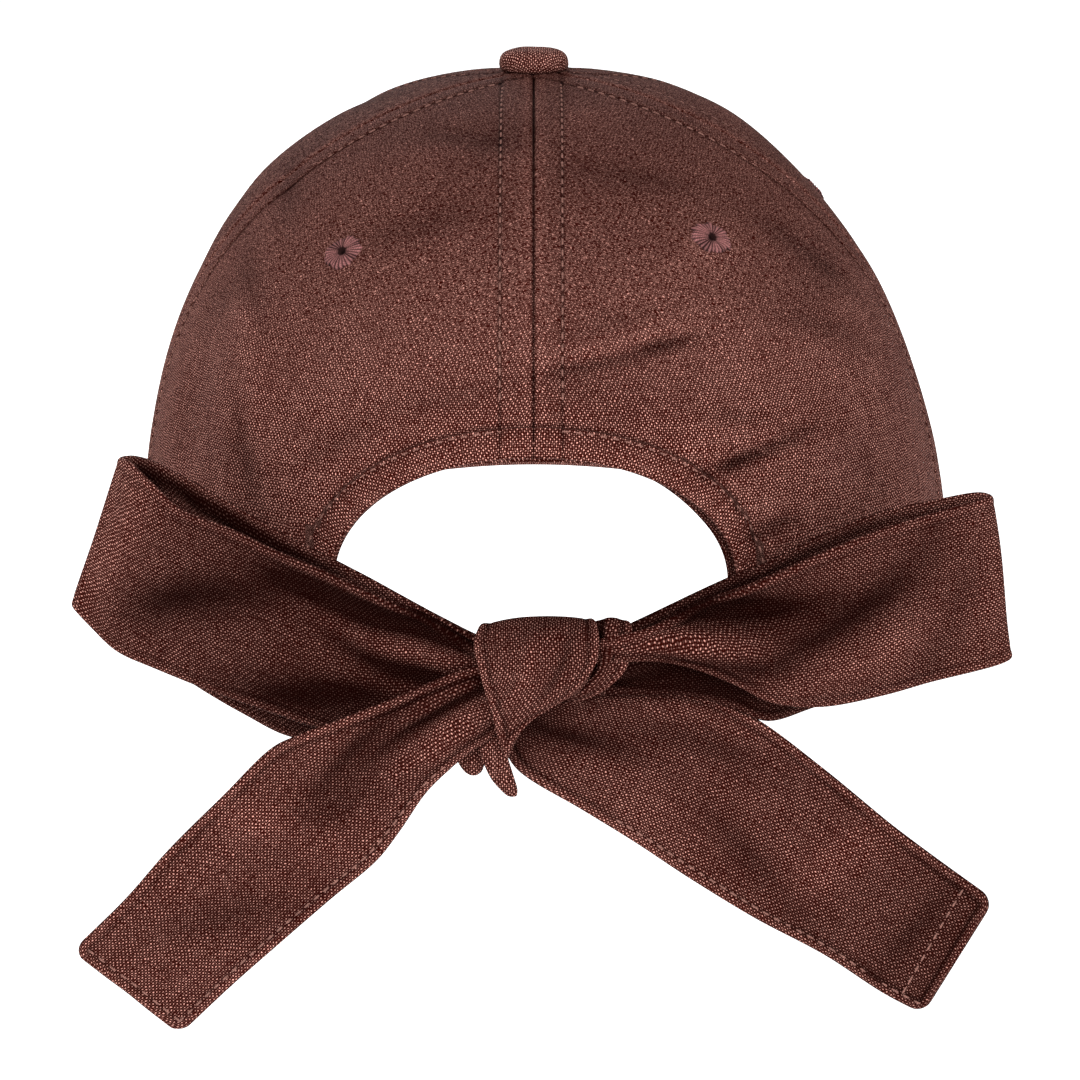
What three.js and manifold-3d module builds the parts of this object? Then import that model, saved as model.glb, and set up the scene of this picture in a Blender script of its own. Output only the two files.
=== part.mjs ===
// A six-panel cap in woven linen. The back opening is an arch, closed by two wide ties in a bow.
// Millimetres, +Z up. The peak points to -Y and the bow is at +Y. Left is the wearer's left, +X.
// The origin is the middle of the plane that the crown's rim sits in, where the head goes in.

import * as THREE from 'three';
import Module from 'manifold-3d';

const wasm = await Module();
wasm.setup();

// Driving sizes

const GAP = 0.3; // kept between any two pieces
const RAD = Math.PI / 180;

const crown = {
  halfWidthLeft: 86.9,
  halfWidthRight: 90.2,
  halfLength: 97,
  height: 115.5,
  squareness: 2.27, // 2 is an ellipse, more is boxier
  topSlope: 1, // degrees that the very top falls towards the front
  topBack: 6, // how far the button sits behind the middle of the rim
  frontRise: 10, // how far the rim lifts over the forehead
  wall: 1.5,
  topHole: 4, // radius left open under the button
};

const arch = {
  halfWidth: 42.5,
  crownHeight: 48,
  sideHeight: 20, // where the curve ends and the straight side begins
  flare: 3, // how far the straight sides spread on their way down
  curvedShare: 0.72, // of the run from the top of the arch to the rim
};
const facing = { width: 12, wall: 1.1, setBack: 0.6, endsShort: 0.015 };
const button = { radius: 7.5, foot: 6.9, footHeight: 0.7, rimHeight: 1.8, height: 5.2, seat: 0.4 };
const eyelet = { halfWidth: 4, halfHeight: 3.3, hole: 1.3, cutWider: 0.4, wall: 0.9 };
const peak = {
  attach: 62, // degrees of the rim to each side of its middle
  length: 70,
  halfWidth: 84,
  cornerBack: 41, // how far in front of the rim's middle its two corners lie
  roundness: 0.85, // 1 is an ellipse, less is squarer
  wall: 2.8,
  edgeWall: 1.6,
  slope: 7,
  camber: 0.0016, // how much more it falls towards its sides
};

// How finely each surface is stepped
const steps = {
  panelRows: 13,
  panelColumns: 9,
  archedPanelColumns: 15,
  archedShare: 0.58, // of those columns, the ones that start at the arch
  facing: 36,
  peakAcross: 18,
  peakOut: 6,
  ribbonAcross: 6,
  ribbonPerRow: 2,
};

// Where the panels meet: degrees round from the middle of the back, at every 15 degrees up from
// the rim to the top
const seams = [
  { name: 'back', round: [0, 0, 0, 0, 0, 0, 0] },
  { name: 'side back', round: [86, 86, 84.5, 77, 66.5, 57, 52] },
  { name: 'side front', round: [132, 132, 131, 129, 126, 122, 118] },
  { name: 'front', round: [180, 180, 180, 180, 180, 180, 180] },
];

const sides = [
  { name: 'left', sign: 1 },
  { name: 'right', sign: -1 },
];

// The middle of each panel's eyelet, degrees round from the back and degrees up from the rim
const eyelets = [
  { name: 'back', left: { round: 35.5, up: 44.8 }, right: { round: -33.2, up: 47 } },
  { name: 'side', left: { round: 110, up: 46 }, right: { round: -110, up: 46 } },
  { name: 'front', left: { round: 154, up: 46 }, right: { round: -154, up: 46 } },
];

// Soft dents (below 0) and swells (above 0) of the crown: where, how long and wide in mm, turned by
// how many degrees from level, and how deep
const dents = [
  { round: 95, up: 8, long: 16, wide: 16, turned: 0, deep: -0.5 },
  { round: 95, up: 28, long: 20, wide: 20, turned: 0, deep: 0.5 },
  { round: 95, up: 48, long: 20, wide: 20, turned: 0, deep: 1.6 },
  { round: 95, up: 70, long: 22, wide: 22, turned: 0, deep: 0.6 },
  { round: -95, up: 8, long: 16, wide: 16, turned: 0, deep: 1.4 },
  { round: -95, up: 28, long: 20, wide: 20, turned: 0, deep: -1 },
  { round: -95, up: 48, long: 20, wide: 20, turned: 0, deep: -1.2 },
  { round: -95, up: 70, long: 22, wide: 22, turned: 0, deep: 1.1 },
  { round: -16, up: 26.5, long: 26, wide: 9, turned: 5, deep: 1.4 },
  { round: -17, up: 31.5, long: 24, wide: 8, turned: 5, deep: -1.2 },
  { round: -38, up: 16, long: 16, wide: 8, turned: 6, deep: -1.1 },
  { round: -36, up: 21, long: 18, wide: 8, turned: 6, deep: 1 },
  { round: 35, up: 30, long: 24, wide: 14, turned: 60, deep: -1 },
  { round: 62, up: 22, long: 22, wide: 12, turned: 70, deep: -1.2 },
  { round: 130, up: 28, long: 20, wide: 11, turned: 70, deep: -1.5 },
  { round: -135, up: 28, long: 20, wide: 11, turned: 70, deep: -1.5 },
  { round: 165, up: 58, long: 24, wide: 12, turned: 10, deep: -1.2 },
];

// The rows of each ribbon, from the knot outwards: its upper and lower edge, how far it swells along
// its face at a quarter, a half and three quarters of its width, and its thickness
const leftLoop = [
  { top: [4, 101, 10], bottom: [4, 101, 1], swell: [0, 0, 0], wall: 3.4 },
  { top: [12, 100.5, 12.5], bottom: [12, 100.5, 0], swell: [1, -1, 1], wall: 3 },
  { top: [19.3, 98, 15.8], bottom: [19.5, 98, -3], swell: [1, -1, 1], wall: 2.4 },
  { top: [28, 94.5, 20], bottom: [28.5, 94.5, -8], swell: [0, 0, 0], wall: 1.8 },
  { top: [39.2, 90, 25.2], bottom: [40, 90, -13.2], swell: [0, 0, 0], wall: 1.8 },
  { top: [50.6, 84, 29.5], bottom: [51.2, 85, -12.9], swell: [0, 0, 0], wall: 1.8 },
  { top: [61.2, 79, 34.6], bottom: [60.5, 80.5, -9.4], swell: [0, 0, 0], wall: 1.8 },
  { top: [69.7, 75, 38.7], bottom: [70.2, 76, -4.8], swell: [0, 0, 0], wall: 1.8 },
  { top: [78.3, 70, 42.4], bottom: [82, 70.5, 1.8], swell: [0, 0, 0], wall: 1.8 },
  { top: [84, 66.8, 43.4], bottom: [92.3, 67, 7.4], swell: [0, 0, 0], wall: 1.8 },
  { top: [86.2, 69, 43.4], bottom: [96.8, 69.5, 10.9], swell: [0, 0, 0], wall: 1.8 },
  { top: [84.3, 72, 42.9], bottom: [93, 73.5, 7.6], swell: [0, 0, 0], wall: 1.8 },
  { top: [79.8, 77, 40], bottom: [87.3, 78, 3.6], swell: [0.5, 0.5, 0.3], wall: 1.8 },
  { top: [73.1, 82, 35.1], bottom: [79.2, 83, 1.2], swell: [1, 1, 0.5], wall: 1.8 },
  { top: [62.8, 89, 32.6], bottom: [66, 90, -2.4], swell: [0.5, 1, 0.8], wall: 1.8 },
  { top: [52.7, 94, 28.8], bottom: [54.5, 96, -5], swell: [-0.5, 0.5, 1], wall: 1.8 },
  { top: [43.9, 98, 25.9], bottom: [44.6, 99, -7.6], swell: [-2, -0.5, 1], wall: 1.8 },
  { top: [34.6, 101.5, 22.2], bottom: [34.8, 101.5, -9], swell: [-3.5, -2, 1], wall: 1.8 },
  { top: [25.3, 105, 18.4], bottom: [25.4, 102.5, -6], swell: [-3.5, -2.5, 1], wall: 2 },
  { top: [17.5, 107, 14.4], bottom: [17.5, 104, -1.5], swell: [-2, -1.5, 0.5], wall: 2.6 },
  { top: [8, 106, 10], bottom: [8, 105, 4], swell: [0, 0, 0], wall: 3 },
];

const rightLoop = [
  { top: [-6, 101, 10], bottom: [-6, 101, 1], swell: [0, 0, 0], wall: 3.4 },
  { top: [-14, 100.5, 11.8], bottom: [-14, 100.5, 0], swell: [1, -1, 1], wall: 3 },
  { top: [-22, 98, 15.2], bottom: [-22, 98, -1], swell: [1, -1, 1], wall: 2.4 },
  { top: [-31, 94.5, 19], bottom: [-31.2, 95, -1.6], swell: [0, 0, 0], wall: 1.8 },
  { top: [-40.4, 90.5, 22.5], bottom: [-40.6, 91, -5], swell: [0, 0, 0], wall: 1.8 },
  { top: [-48.6, 86.5, 25], bottom: [-48.9, 87.5, -9], swell: [0, 0, 0], wall: 1.8 },
  { top: [-60.5, 80, 29.4], bottom: [-59, 81, -7.6], swell: [0, 0, 0], wall: 1.8 },
  { top: [-72.7, 74, 32.8], bottom: [-73, 75, -4.4], swell: [0, 0, 0], wall: 1.8 },
  { top: [-85.8, 69, 34.6], bottom: [-87, 69.5, -1.8], swell: [0, 0, 0], wall: 1.8 },
  { top: [-93, 66.8, 35.4], bottom: [-97, 67, -0.4], swell: [0, 0, 0], wall: 1.8 },
  { top: [-95.6, 69, 35.3], bottom: [-100.3, 69.2, -0.2], swell: [0, 0, 0], wall: 1.8 },
  { top: [-92.8, 72.5, 34.9], bottom: [-96.5, 73, -0.9], swell: [0, 0, 0], wall: 1.8 },
  { top: [-82.7, 78, 33.2], bottom: [-84.6, 79.5, -2.3], swell: [0.5, 1, 0.5], wall: 1.8 },
  { top: [-71.9, 84, 31.2], bottom: [-72.4, 86, -4], swell: [0, 1, 1], wall: 1.8 },
  { top: [-60.1, 90, 27.8], bottom: [-60, 92, -4.8], swell: [-2, 0.5, 1.5], wall: 1.8 },
  { top: [-48.8, 96, 23.8], bottom: [-49.5, 96, -2.8], swell: [-4, 0, 2.5], wall: 1.8 },
  { top: [-39.4, 100.5, 20.6], bottom: [-41.6, 100, 1.8], swell: [-4, 0.5, 2.5], wall: 1.8 },
  { top: [-30.7, 104, 17.6], bottom: [-33.2, 104, 6], swell: [-2.5, 1, 1.5], wall: 2 },
  { top: [-22, 106, 15], bottom: [-24, 106, 8.2], swell: [0, 0.5, 0.5], wall: 2.6 },
  { top: [-13, 106, 13], bottom: [-13, 106, 7.6], swell: [0, 0, 0], wall: 3 },
];

const leftTail = [
  { top: [8.9, 108, 8.6], bottom: [5, 107.5, -4], swell: [0, 0, 0], wall: 3 },
  { top: [15, 109.4, 7.4], bottom: [9.3, 108.5, -7.8], swell: [0.5, -1, 0], wall: 2.6 },
  { top: [21.2, 109.5, 4.8], bottom: [12.6, 109, -9.8], swell: [1, -2, 0.5], wall: 2.2 },
  { top: [29.4, 109, 1], bottom: [17.2, 109, -13.8], swell: [1, -2, 0.5], wall: 1.8 },
  { top: [38.7, 108, -3], bottom: [22.3, 108, -19.3], swell: [0.5, -1.5, 0.5], wall: 1.8 },
  { top: [47.8, 107, -6.8], bottom: [27.6, 107, -27.5], swell: [0, -0.5, 0.5], wall: 1.8 },
  { top: [54.5, 106, -10.5], bottom: [32.8, 106, -34.4], swell: [0, 0, 0.5], wall: 1.8 },
  { top: [63.7, 104.5, -20.1], bottom: [42, 105, -42.6], swell: [0.5, 0.5, 0], wall: 1.8 },
  { top: [75.5, 103, -32.4], bottom: [53.7, 104, -53.3], swell: [0.5, 0, -0.5], wall: 1.8 },
  { top: [84.8, 102, -43.4], bottom: [63, 103, -62], swell: [0, -0.5, -0.5], wall: 1.8 },
  { top: [96.1, 101, -54.9], bottom: [73.8, 102, -72.7], swell: [0, -0.5, 0], wall: 1.8 },
];

const rightTail = [
  { top: [0, 101.5, 1.5], bottom: [6.9, 102, -9], swell: [0, 0, 0], wall: 3 },
  { top: [-8.8, 96.6, 0.2], bottom: [2.8, 99.5, -16.9], swell: [0.5, 0.5, 0], wall: 2.4 },
  { top: [-22, 91.8, 0], bottom: [-10.1, 96, -25.9], swell: [0.5, 0.5, 0], wall: 1.8 },
  { top: [-34.5, 88.4, -2.4], bottom: [-21.2, 93.5, -33.6], swell: [0.5, 1, 0.5], wall: 1.8 },
  { top: [-46.9, 87, -8.8], bottom: [-32.7, 92.5, -41.7], swell: [0.5, 1, 0.5], wall: 1.8 },
  { top: [-60.4, 89, -18.7], bottom: [-46.3, 93, -50.1], swell: [0, 0.5, 0.5], wall: 1.8 },
  { top: [-74.9, 91.5, -30.3], bottom: [-60.8, 94, -57.8], swell: [-0.5, 0, 0], wall: 1.8 },
  { top: [-86.8, 94, -38.9], bottom: [-72.5, 95, -65.4], swell: [-0.5, -0.5, 0], wall: 1.8 },
  { top: [-96.2, 96, -45.3], bottom: [-81.6, 96, -70.1], swell: [0, 0, 0], wall: 1.8 },
];

// The ties, from the corner of the arch to the knot, on the left. The first two rows are sewn to the
// crown, so their depth is the crown's own.
const tie = [
  { top: [50, 0, 21], bottom: [50, 0, 2], swell: [0.4, 0.4, 0.3], wall: 1.8, sewn: true },
  { top: [44, 0, 20.5], bottom: [44, 0, 1.8], swell: [0, 0, 0], wall: 1.8, sewn: true },
  { top: [38, 87.2, 19], bottom: [38, 87.6, 1.6], swell: [0, 0, 0], wall: 1.8 },
  { top: [28, 90, 14], bottom: [28, 90, 1.5], swell: [0, 0, 0], wall: 1.8 },
  { top: [18, 92.6, 11], bottom: [18, 92.6, 1.5], swell: [0, 0, 0], wall: 1.8 },
  { top: [6, 95.6, 9], bottom: [6, 95.6, 2], swell: [0, 0, 0], wall: 2.2 },
];

// The knot in level slices: its two sides, its middle depth and half its depth
const knotRows = [
  { z: 17.6, left: 5.5, right: -1, y: 105, deep: 2 },
  { z: 16.2, left: 10, right: -10, y: 104.5, deep: 5.5 },
  { z: 13.6, left: 12.2, right: -18.6, y: 104, deep: 8 },
  { z: 10.4, left: 12.3, right: -19.8, y: 103.6, deep: 9.4 },
  { z: 6.6, left: 11.4, right: -18.8, y: 103.6, deep: 10 },
  { z: 3, left: 10.4, right: -14, y: 104, deep: 9.8 },
  { z: -0.6, left: 9, right: -5.4, y: 105, deep: 8.2 },
  { z: -4, left: 8, right: 0.4, y: 106, deep: 6 },
  { z: -8, left: 7.2, right: 3.4, y: 107, deep: 3.2 },
  { z: -12, left: 6.2, right: 5.2, y: 107.5, deep: 1.2 },
];

// The short folded end that shows under the knot
const curlRows = [
  { z: -9.5, left: 13.5, right: 6.4, y: 104.4, deep: 1.6 },
  { z: -12.5, left: 13.8, right: 5.6, y: 104.4, deep: 1.9 },
  { z: -15.4, left: 12, right: 4.6, y: 104.4, deep: 1.8 },
  { z: -18, left: 8.6, right: 3.8, y: 104.4, deep: 1.6 },
  { z: -20.6, left: 6.2, right: 3.6, y: 104.4, deep: 1.1 },
];

// Colours of the cloth and of the thread, and how they shine
const cloth = new THREE.MeshStandardMaterial({ color: 0x4a251d, roughness: 0.9, metalness: 0 });
const thread = new THREE.MeshStandardMaterial({ color: 0x5a3330, roughness: 0.75, metalness: 0 });

// Small sums

const mix = (a, b, t) => a + (b - a) * t;
const clamp01 = (t) => Math.min(1, Math.max(0, t));
const smooth = (t) => clamp01(t) ** 2 * (3 - 2 * clamp01(t));
const vec = (p) => new THREE.Vector3(...p);

// The smooth curve through evenly spaced values, at place t counted in values
function throughValues(values, t) {
  const i = Math.min(values.length - 2, Math.max(0, Math.floor(t)));
  const u = t - i;
  const b = values[i];
  const c = values[i + 1];
  const a = i > 0 ? values[i - 1] : 2 * b - c;
  const d = i + 2 < values.length ? values[i + 2] : 2 * c - b;
  return b + 0.5 * u * (c - a + u * (2 * a - 5 * b + 4 * c - d + u * (3 * (b - c) + d - a)));
}

// The closed skin between two grids of points, grid[row][column]
function skin(outer, inner) {
  const rows = outer.length;
  const columns = outer[0].length;
  const points = [...outer.flat(), ...inner.flat()];
  const at = (side, i, j) => side * rows * columns + i * columns + j;
  const faces = [];
  const quad = (a, b, c, d) => faces.push(a, b, c, a, c, d);
  for (let i = 0; i + 1 < rows; i++) {
    for (let j = 0; j + 1 < columns; j++) {
      quad(at(0, i, j), at(0, i + 1, j), at(0, i + 1, j + 1), at(0, i, j + 1));
      quad(at(1, i, j), at(1, i, j + 1), at(1, i + 1, j + 1), at(1, i + 1, j));
    }
    quad(at(0, i + 1, 0), at(0, i, 0), at(1, i, 0), at(1, i + 1, 0));
    const k = columns - 1;
    quad(at(0, i, k), at(0, i + 1, k), at(1, i + 1, k), at(1, i, k));
  }
  for (let j = 0; j + 1 < columns; j++) {
    quad(at(0, 0, j), at(0, 0, j + 1), at(1, 0, j + 1), at(1, 0, j));
    const k = rows - 1;
    quad(at(0, k, j + 1), at(0, k, j), at(1, k, j), at(1, k, j + 1));
  }
  return facingOut(points, faces);
}

// A geometry of these points and triangles, turned so that its faces point out
function facingOut(points, faces) {
  let volume = 0;
  for (let i = 0; i < faces.length; i += 3) {
    const [a, b, c] = [points[faces[i]], points[faces[i + 1]], points[faces[i + 2]]];
    volume += a.dot(new THREE.Vector3().crossVectors(b, c));
  }
  const geometry = new THREE.BufferGeometry().setFromPoints(points);
  geometry.setIndex(volume > 0 ? faces : faces.reverse());
  return geometry;
}

// A closed body through level rings of points
function lofted(rings) {
  const around = rings[0].length;
  const points = rings.flat();
  const faces = [];
  for (let i = 0; i + 1 < rings.length; i++) {
    for (let j = 0; j < around; j++) {
      const k = (j + 1) % around;
      const [a, b] = [i * around, (i + 1) * around];
      faces.push(a + j, a + k, b + k, a + j, b + k, b + j);
    }
  }
  const last = (rings.length - 1) * around;
  for (let j = 1; j + 1 < around; j++) {
    faces.push(0, j + 1, j, last, last + j, last + j + 1);
  }
  return facingOut(points, faces);
}

// Joining and cutting

function asSolid(geometry) {
  const vertProperties = new Float32Array(geometry.getAttribute('position').array);
  const triVerts = new Uint32Array(geometry.getIndex().array);
  return new wasm.Manifold(new wasm.Mesh({ numProp: 3, vertProperties, triVerts }));
}

function asGeometry(solid) {
  const mesh = solid.getMesh();
  const geometry = new THREE.BufferGeometry();
  geometry.setAttribute('position', new THREE.BufferAttribute(mesh.vertProperties, 3));
  geometry.setIndex(new THREE.BufferAttribute(mesh.triVerts, 1));
  return geometry;
}

const cut = (geometry, tool) => asGeometry(asSolid(geometry).subtract(asSolid(tool)));

// The crown's surface

// How far out the rim is, round degrees from the middle of the back
function rimRadius(round) {
  const side = Math.sin(round * RAD);
  const halfWidth = side > 0 ? crown.halfWidthLeft : crown.halfWidthRight;
  return 1 / Math.hypot(side / halfWidth, Math.cos(round * RAD) / crown.halfLength);
}

// How high the rim is: level, and lifted over the forehead
const rimHeight = (round) => crown.frontRise * smooth((Math.abs(round) - 95) / 85);

// How much higher the crown is towards the back, share of the way up
const topFall = (y, share) => y * Math.tan(crown.topSlope * RAD) * share ** 2;

// The crown before its dents, up degrees above the rim (0) to the top (90)
function plainCrown(round, up) {
  const power = 2 / crown.squareness;
  const out = rimRadius(round) * Math.cos(up * RAD) ** power;
  const share = Math.sin(up * RAD) ** power;
  const y = out * Math.cos(round * RAD);
  const z = mix(rimHeight(round), crown.height, share) + topFall(y, share);
  return new THREE.Vector3(out * Math.sin(round * RAD), y + crown.topBack * share ** 2, z);
}

function crownNormal(round, up) {
  const step = 0.2;
  const lift = Math.min(90 - 5 * step, Math.max(step, up));
  const across = plainCrown(round + step, lift).sub(plainCrown(round - step, lift));
  const along = plainCrown(round, lift + step).sub(plainCrown(round, lift - step));
  return new THREE.Vector3().crossVectors(along, across).normalize();
}

// How far the dents and swells move the cloth at a place
function relief(place) {
  let sum = 0;
  for (const dent of dents) {
    const middle = plainCrown(dent.round, dent.up);
    const away = place.clone().sub(middle);
    const level = new THREE.Vector3(Math.cos(dent.round * RAD), -Math.sin(dent.round * RAD), 0);
    const upward = new THREE.Vector3().crossVectors(level, crownNormal(dent.round, dent.up));
    const [s, c] = [Math.sin(dent.turned * RAD), Math.cos(dent.turned * RAD)];
    const run = away.dot(level) * c + away.dot(upward) * s;
    const across = away.dot(upward) * c - away.dot(level) * s;
    sum += dent.deep * Math.exp(-((run / dent.long) ** 2) - (across / dent.wide) ** 2);
  }
  return sum;
}

// A point of the crown, this deep under its outside
function crownPoint(round, up, depth = 0) {
  const place = plainCrown(round, up);
  return place.addScaledVector(crownNormal(round, up), relief(place) - depth);
}

// The degrees round and up of the place on the crown's back at this x and z
function onBack(x, z) {
  let round = 0;
  let up = 0;
  for (let i = 0; i < 12; i++) {
    const y = rimRadius(round) * Math.cos(round * RAD);
    const share = clamp01((z - topFall(y, z / crown.height)) / crown.height);
    up = Math.asin(share ** (crown.squareness / 2)) / RAD;
    const out = rimRadius(round) * Math.cos(up * RAD) ** (2 / crown.squareness);
    round = Math.asin(Math.max(-1, Math.min(1, x / out))) / RAD;
  }
  return { round, up };
}

// The arch's edge, this far outside it: t is 0 at its top, and 1 at the rim
function archEdge(t, outside, side) {
  const turn = Math.min(1, t / arch.curvedShare) * 90 * RAD;
  const x = (arch.halfWidth + outside) * Math.sin(turn);
  const rise = arch.crownHeight - arch.sideHeight + outside;
  const down = Math.max(0, (t - arch.curvedShare) / (1 - arch.curvedShare));
  const z = (arch.sideHeight + rise * Math.cos(turn)) * (1 - down);
  return onBack(side * (x + arch.flare * down), z);
}

// Degrees round that a seam lies at
const seamAt = (seam, up) => throughValues(seam.round, up / 15);

// Where a panel's column starts: on the rim, or first along the arch and then on the rim beside it
function panelStart(near, far, arched, t) {
  if (!arched) return { round: mix(near.round[0], far.round[0], t), up: 0 };
  const split = steps.archedShare;
  if (t <= split) return archEdge(t / split, 0, 1);
  return { round: mix(archEdge(1, 0, 1).round, far.round[0], (t - split) / (1 - split)), up: 0 };
}

// One panel between two seams, from this deep to that deep under the outside of the crown. Its
// columns fan out from their starts to the top.
function panel(near, far, side, arched, from = 0, to = crown.wall) {
  const columns = arched ? steps.archedPanelColumns : steps.panelColumns;
  const rows = steps.panelRows;
  const topUp = Math.acos((crown.topHole / crown.halfLength) ** (crown.squareness / 2)) / RAD;
  const outer = [];
  const inner = [];
  const inset = (up) => (GAP / 2 / (rimRadius(0) * Math.cos(up * RAD) ** (2 / crown.squareness))) / RAD;
  for (let i = 0; i < rows; i++) {
    const v = i / (rows - 1);
    const outerRow = [];
    const innerRow = [];
    for (let j = 0; j < columns; j++) {
      const start = panelStart(near, far, arched, j / (columns - 1));
      const up = mix(start.up, topUp, v);
      const low = seamAt(near, up) + inset(up);
      const high = seamAt(far, up) - inset(up);
      const startLow = seamAt(near, start.up);
      const startHigh = seamAt(far, start.up);
      const shareStart = clamp01((start.round - startLow) / (startHigh - startLow));
      const share = mix(shareStart, j / (columns - 1), v);
      const round = side * mix(low, high, share);
      outerRow.push(crownPoint(round, up, from));
      innerRow.push(crownPoint(round, up, to));
    }
    outer.push(outerRow);
    inner.push(innerRow);
  }
  return skin(outer, inner);
}

// A level ring of points round an upright axis, with the half widths given
function levelRing(count, halfX, halfY, height) {
  const ring = [];
  for (let k = 0; k < count; k++) {
    const angle = (k * 360 * RAD) / count;
    ring.push(new THREE.Vector3(halfX * Math.cos(angle), halfY * Math.sin(angle), height));
  }
  return ring;
}

// A round bar through the crown's wall, for an eyelet's hole
function holeTool(round, up) {
  const around = 12;
  const reach = eyelet.hole + eyelet.cutWider;
  const through = 4 * crown.wall;
  const middle = crownPoint(round, up);
  const turn = new THREE.Quaternion().setFromUnitVectors(new THREE.Vector3(0, 0, 1), crownNormal(round, up));
  const rings = [-through, through].map((height) => levelRing(around, reach, reach, height));
  return lofted(rings.map((ring) => ring.map((spot) => spot.applyQuaternion(turn).add(middle))));
}

// A stitched ring that lies on the cloth round its hole
function eyeletRing(round, up) {
  const around = 16;
  const bend = 90; // radius of the cloth that it lies on
  const lift = GAP + 0.12; // clear of the flat facets under it
  const normal = crownNormal(round, up);
  const level = new THREE.Vector3(Math.cos(round * RAD), -Math.sin(round * RAD), 0);
  const upward = new THREE.Vector3().crossVectors(level, normal).normalize();
  // reach goes from the hole (0) to the outer edge (1), and height counts in walls
  const profile = [
    { reach: 0, height: 0 },
    { reach: 0, height: 0.7 },
    { reach: 0.35, height: 1 },
    { reach: 0.8, height: 0.8 },
    { reach: 1, height: 0.12 },
  ];
  const points = [];
  for (let k = 0; k < around; k++) {
    const angle = (k * 360 * RAD) / around;
    for (const { reach, height } of profile) {
      const wide = mix(eyelet.hole, eyelet.halfWidth, reach) * Math.cos(angle);
      const tall = mix(eyelet.hole, eyelet.halfHeight, reach) * Math.sin(angle);
      const flat = crownPoint(round, up).addScaledVector(level, wide).addScaledVector(upward, tall);
      const drop = (wide ** 2 + tall ** 2) / (2 * bend);
      points.push(flat.addScaledVector(normal, lift + height * eyelet.wall - drop));
    }
  }
  const faces = [];
  const count = profile.length;
  for (let k = 0; k < around; k++) {
    for (let m = 0; m < count; m++) {
      const [a, b] = [k * count, ((k + 1) % around) * count];
      const n = (m + 1) % count;
      faces.push(a + m, b + m, b + n, a + m, b + n, a + n);
    }
  }
  return facingOut(points, faces);
}

// The button: a straight rim on a narrower foot, under a low dome
function buttonDome() {
  const around = 20;
  const domeRings = 6;
  const profile = [
    { reach: button.foot, height: 0 },
    { reach: button.radius, height: button.footHeight },
    { reach: button.radius, height: button.rimHeight },
  ];
  for (let k = 1; k < domeRings; k++) {
    const angle = (k / domeRings) * 90 * RAD;
    const rise = (button.height - button.rimHeight) * Math.sin(angle);
    profile.push({ reach: button.radius * Math.cos(angle), height: button.rimHeight + rise });
  }
  return lofted(profile.map(({ reach, height }) => levelRing(around, reach, reach, height)));
}

// The band turned in along the arch's edge, inside the two back panels
function archFacing() {
  const outer = [];
  const inner = [];
  const under = crown.wall + 1.5 * GAP;
  for (let i = 0; i <= steps.facing; i++) {
    const t = (i / steps.facing) * 2 - 1;
    const outerRow = [];
    const innerRow = [];
    for (const outside of [facing.setBack, facing.width / 2, facing.width]) {
      const place = archEdge(Math.abs(t) * (1 - facing.endsShort), outside, Math.sign(t) || 1);
      outerRow.push(crownPoint(place.round, place.up, under));
      innerRow.push(crownPoint(place.round, place.up, under + facing.wall));
    }
    outer.push(outerRow);
    inner.push(innerRow);
  }
  const clear = sides.map(({ sign }) => panel(seams[0], seams[1], sign, true, 0, crown.wall + GAP));
  return clear.reduce(cut, skin(outer, inner));
}

// The stiff curved peak, from under the front of the rim outwards
function peakBoard() {
  const upper = [];
  const lower = [];
  for (let j = 0; j <= steps.peakAcross; j++) {
    const u = (j / steps.peakAcross) * 2 - 1;
    const round = 180 - u * peak.attach;
    const start = crownPoint(round > 180 ? round - 360 : round, 0);
    start.z -= GAP;
    const turn = u * 90 * RAD;
    const endX = peak.halfWidth * Math.sin(turn);
    const reach = crown.halfLength + peak.length - peak.cornerBack;
    const endY = -(peak.cornerBack + reach * Math.cos(turn) ** peak.roundness);
    const upperRow = [];
    const lowerRow = [];
    for (let i = 0; i <= steps.peakOut; i++) {
      const v = i / steps.peakOut;
      const x = mix(start.x, endX, v);
      const y = mix(start.y, endY, v);
      const far = Math.hypot(x - start.x, y - start.y);
      const droop = far * Math.tan(peak.slope * RAD) + peak.camber * far * Math.abs(x);
      upperRow.push(new THREE.Vector3(x, y, start.z - droop));
      lowerRow.push(new THREE.Vector3(x, y, start.z - droop - mix(peak.wall, peak.edgeWall, v)));
    }
    upper.push(upperRow);
    lower.push(lowerRow);
  }
  return skin(upper, lower);
}

// The smooth middle surface of a ribbon: s counts rows, and w goes from 0 at the lower edge to 1
function ribbonPoint(rows, faceSign, s, w) {
  const step = 0.1;
  const value = (name, axis, t) => throughValues(rows.map((row) => row[name][axis]), t);
  const edge = (name, t) => vec([0, 1, 2].map((axis) => value(name, axis, t)));
  const middle = (t) => edge('top', t).add(edge('bottom', t));
  const ahead = Math.min(rows.length - 1, s + step);
  const behind = Math.max(0, s - step);
  const along = middle(ahead).sub(middle(behind));
  const top = edge('top', s);
  const bottom = edge('bottom', s);
  const across = top.clone().sub(bottom);
  const normal = along.cross(across).normalize().multiplyScalar(faceSign);
  const swell = [0, 1, 2].map((k) => throughValues(rows.map((row) => row.swell[k]), s));
  const lift = throughValues([0, swell[2], swell[1], swell[0], 0], w * 4);
  return bottom.lerp(top, w).addScaledVector(normal, lift);
}

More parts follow.
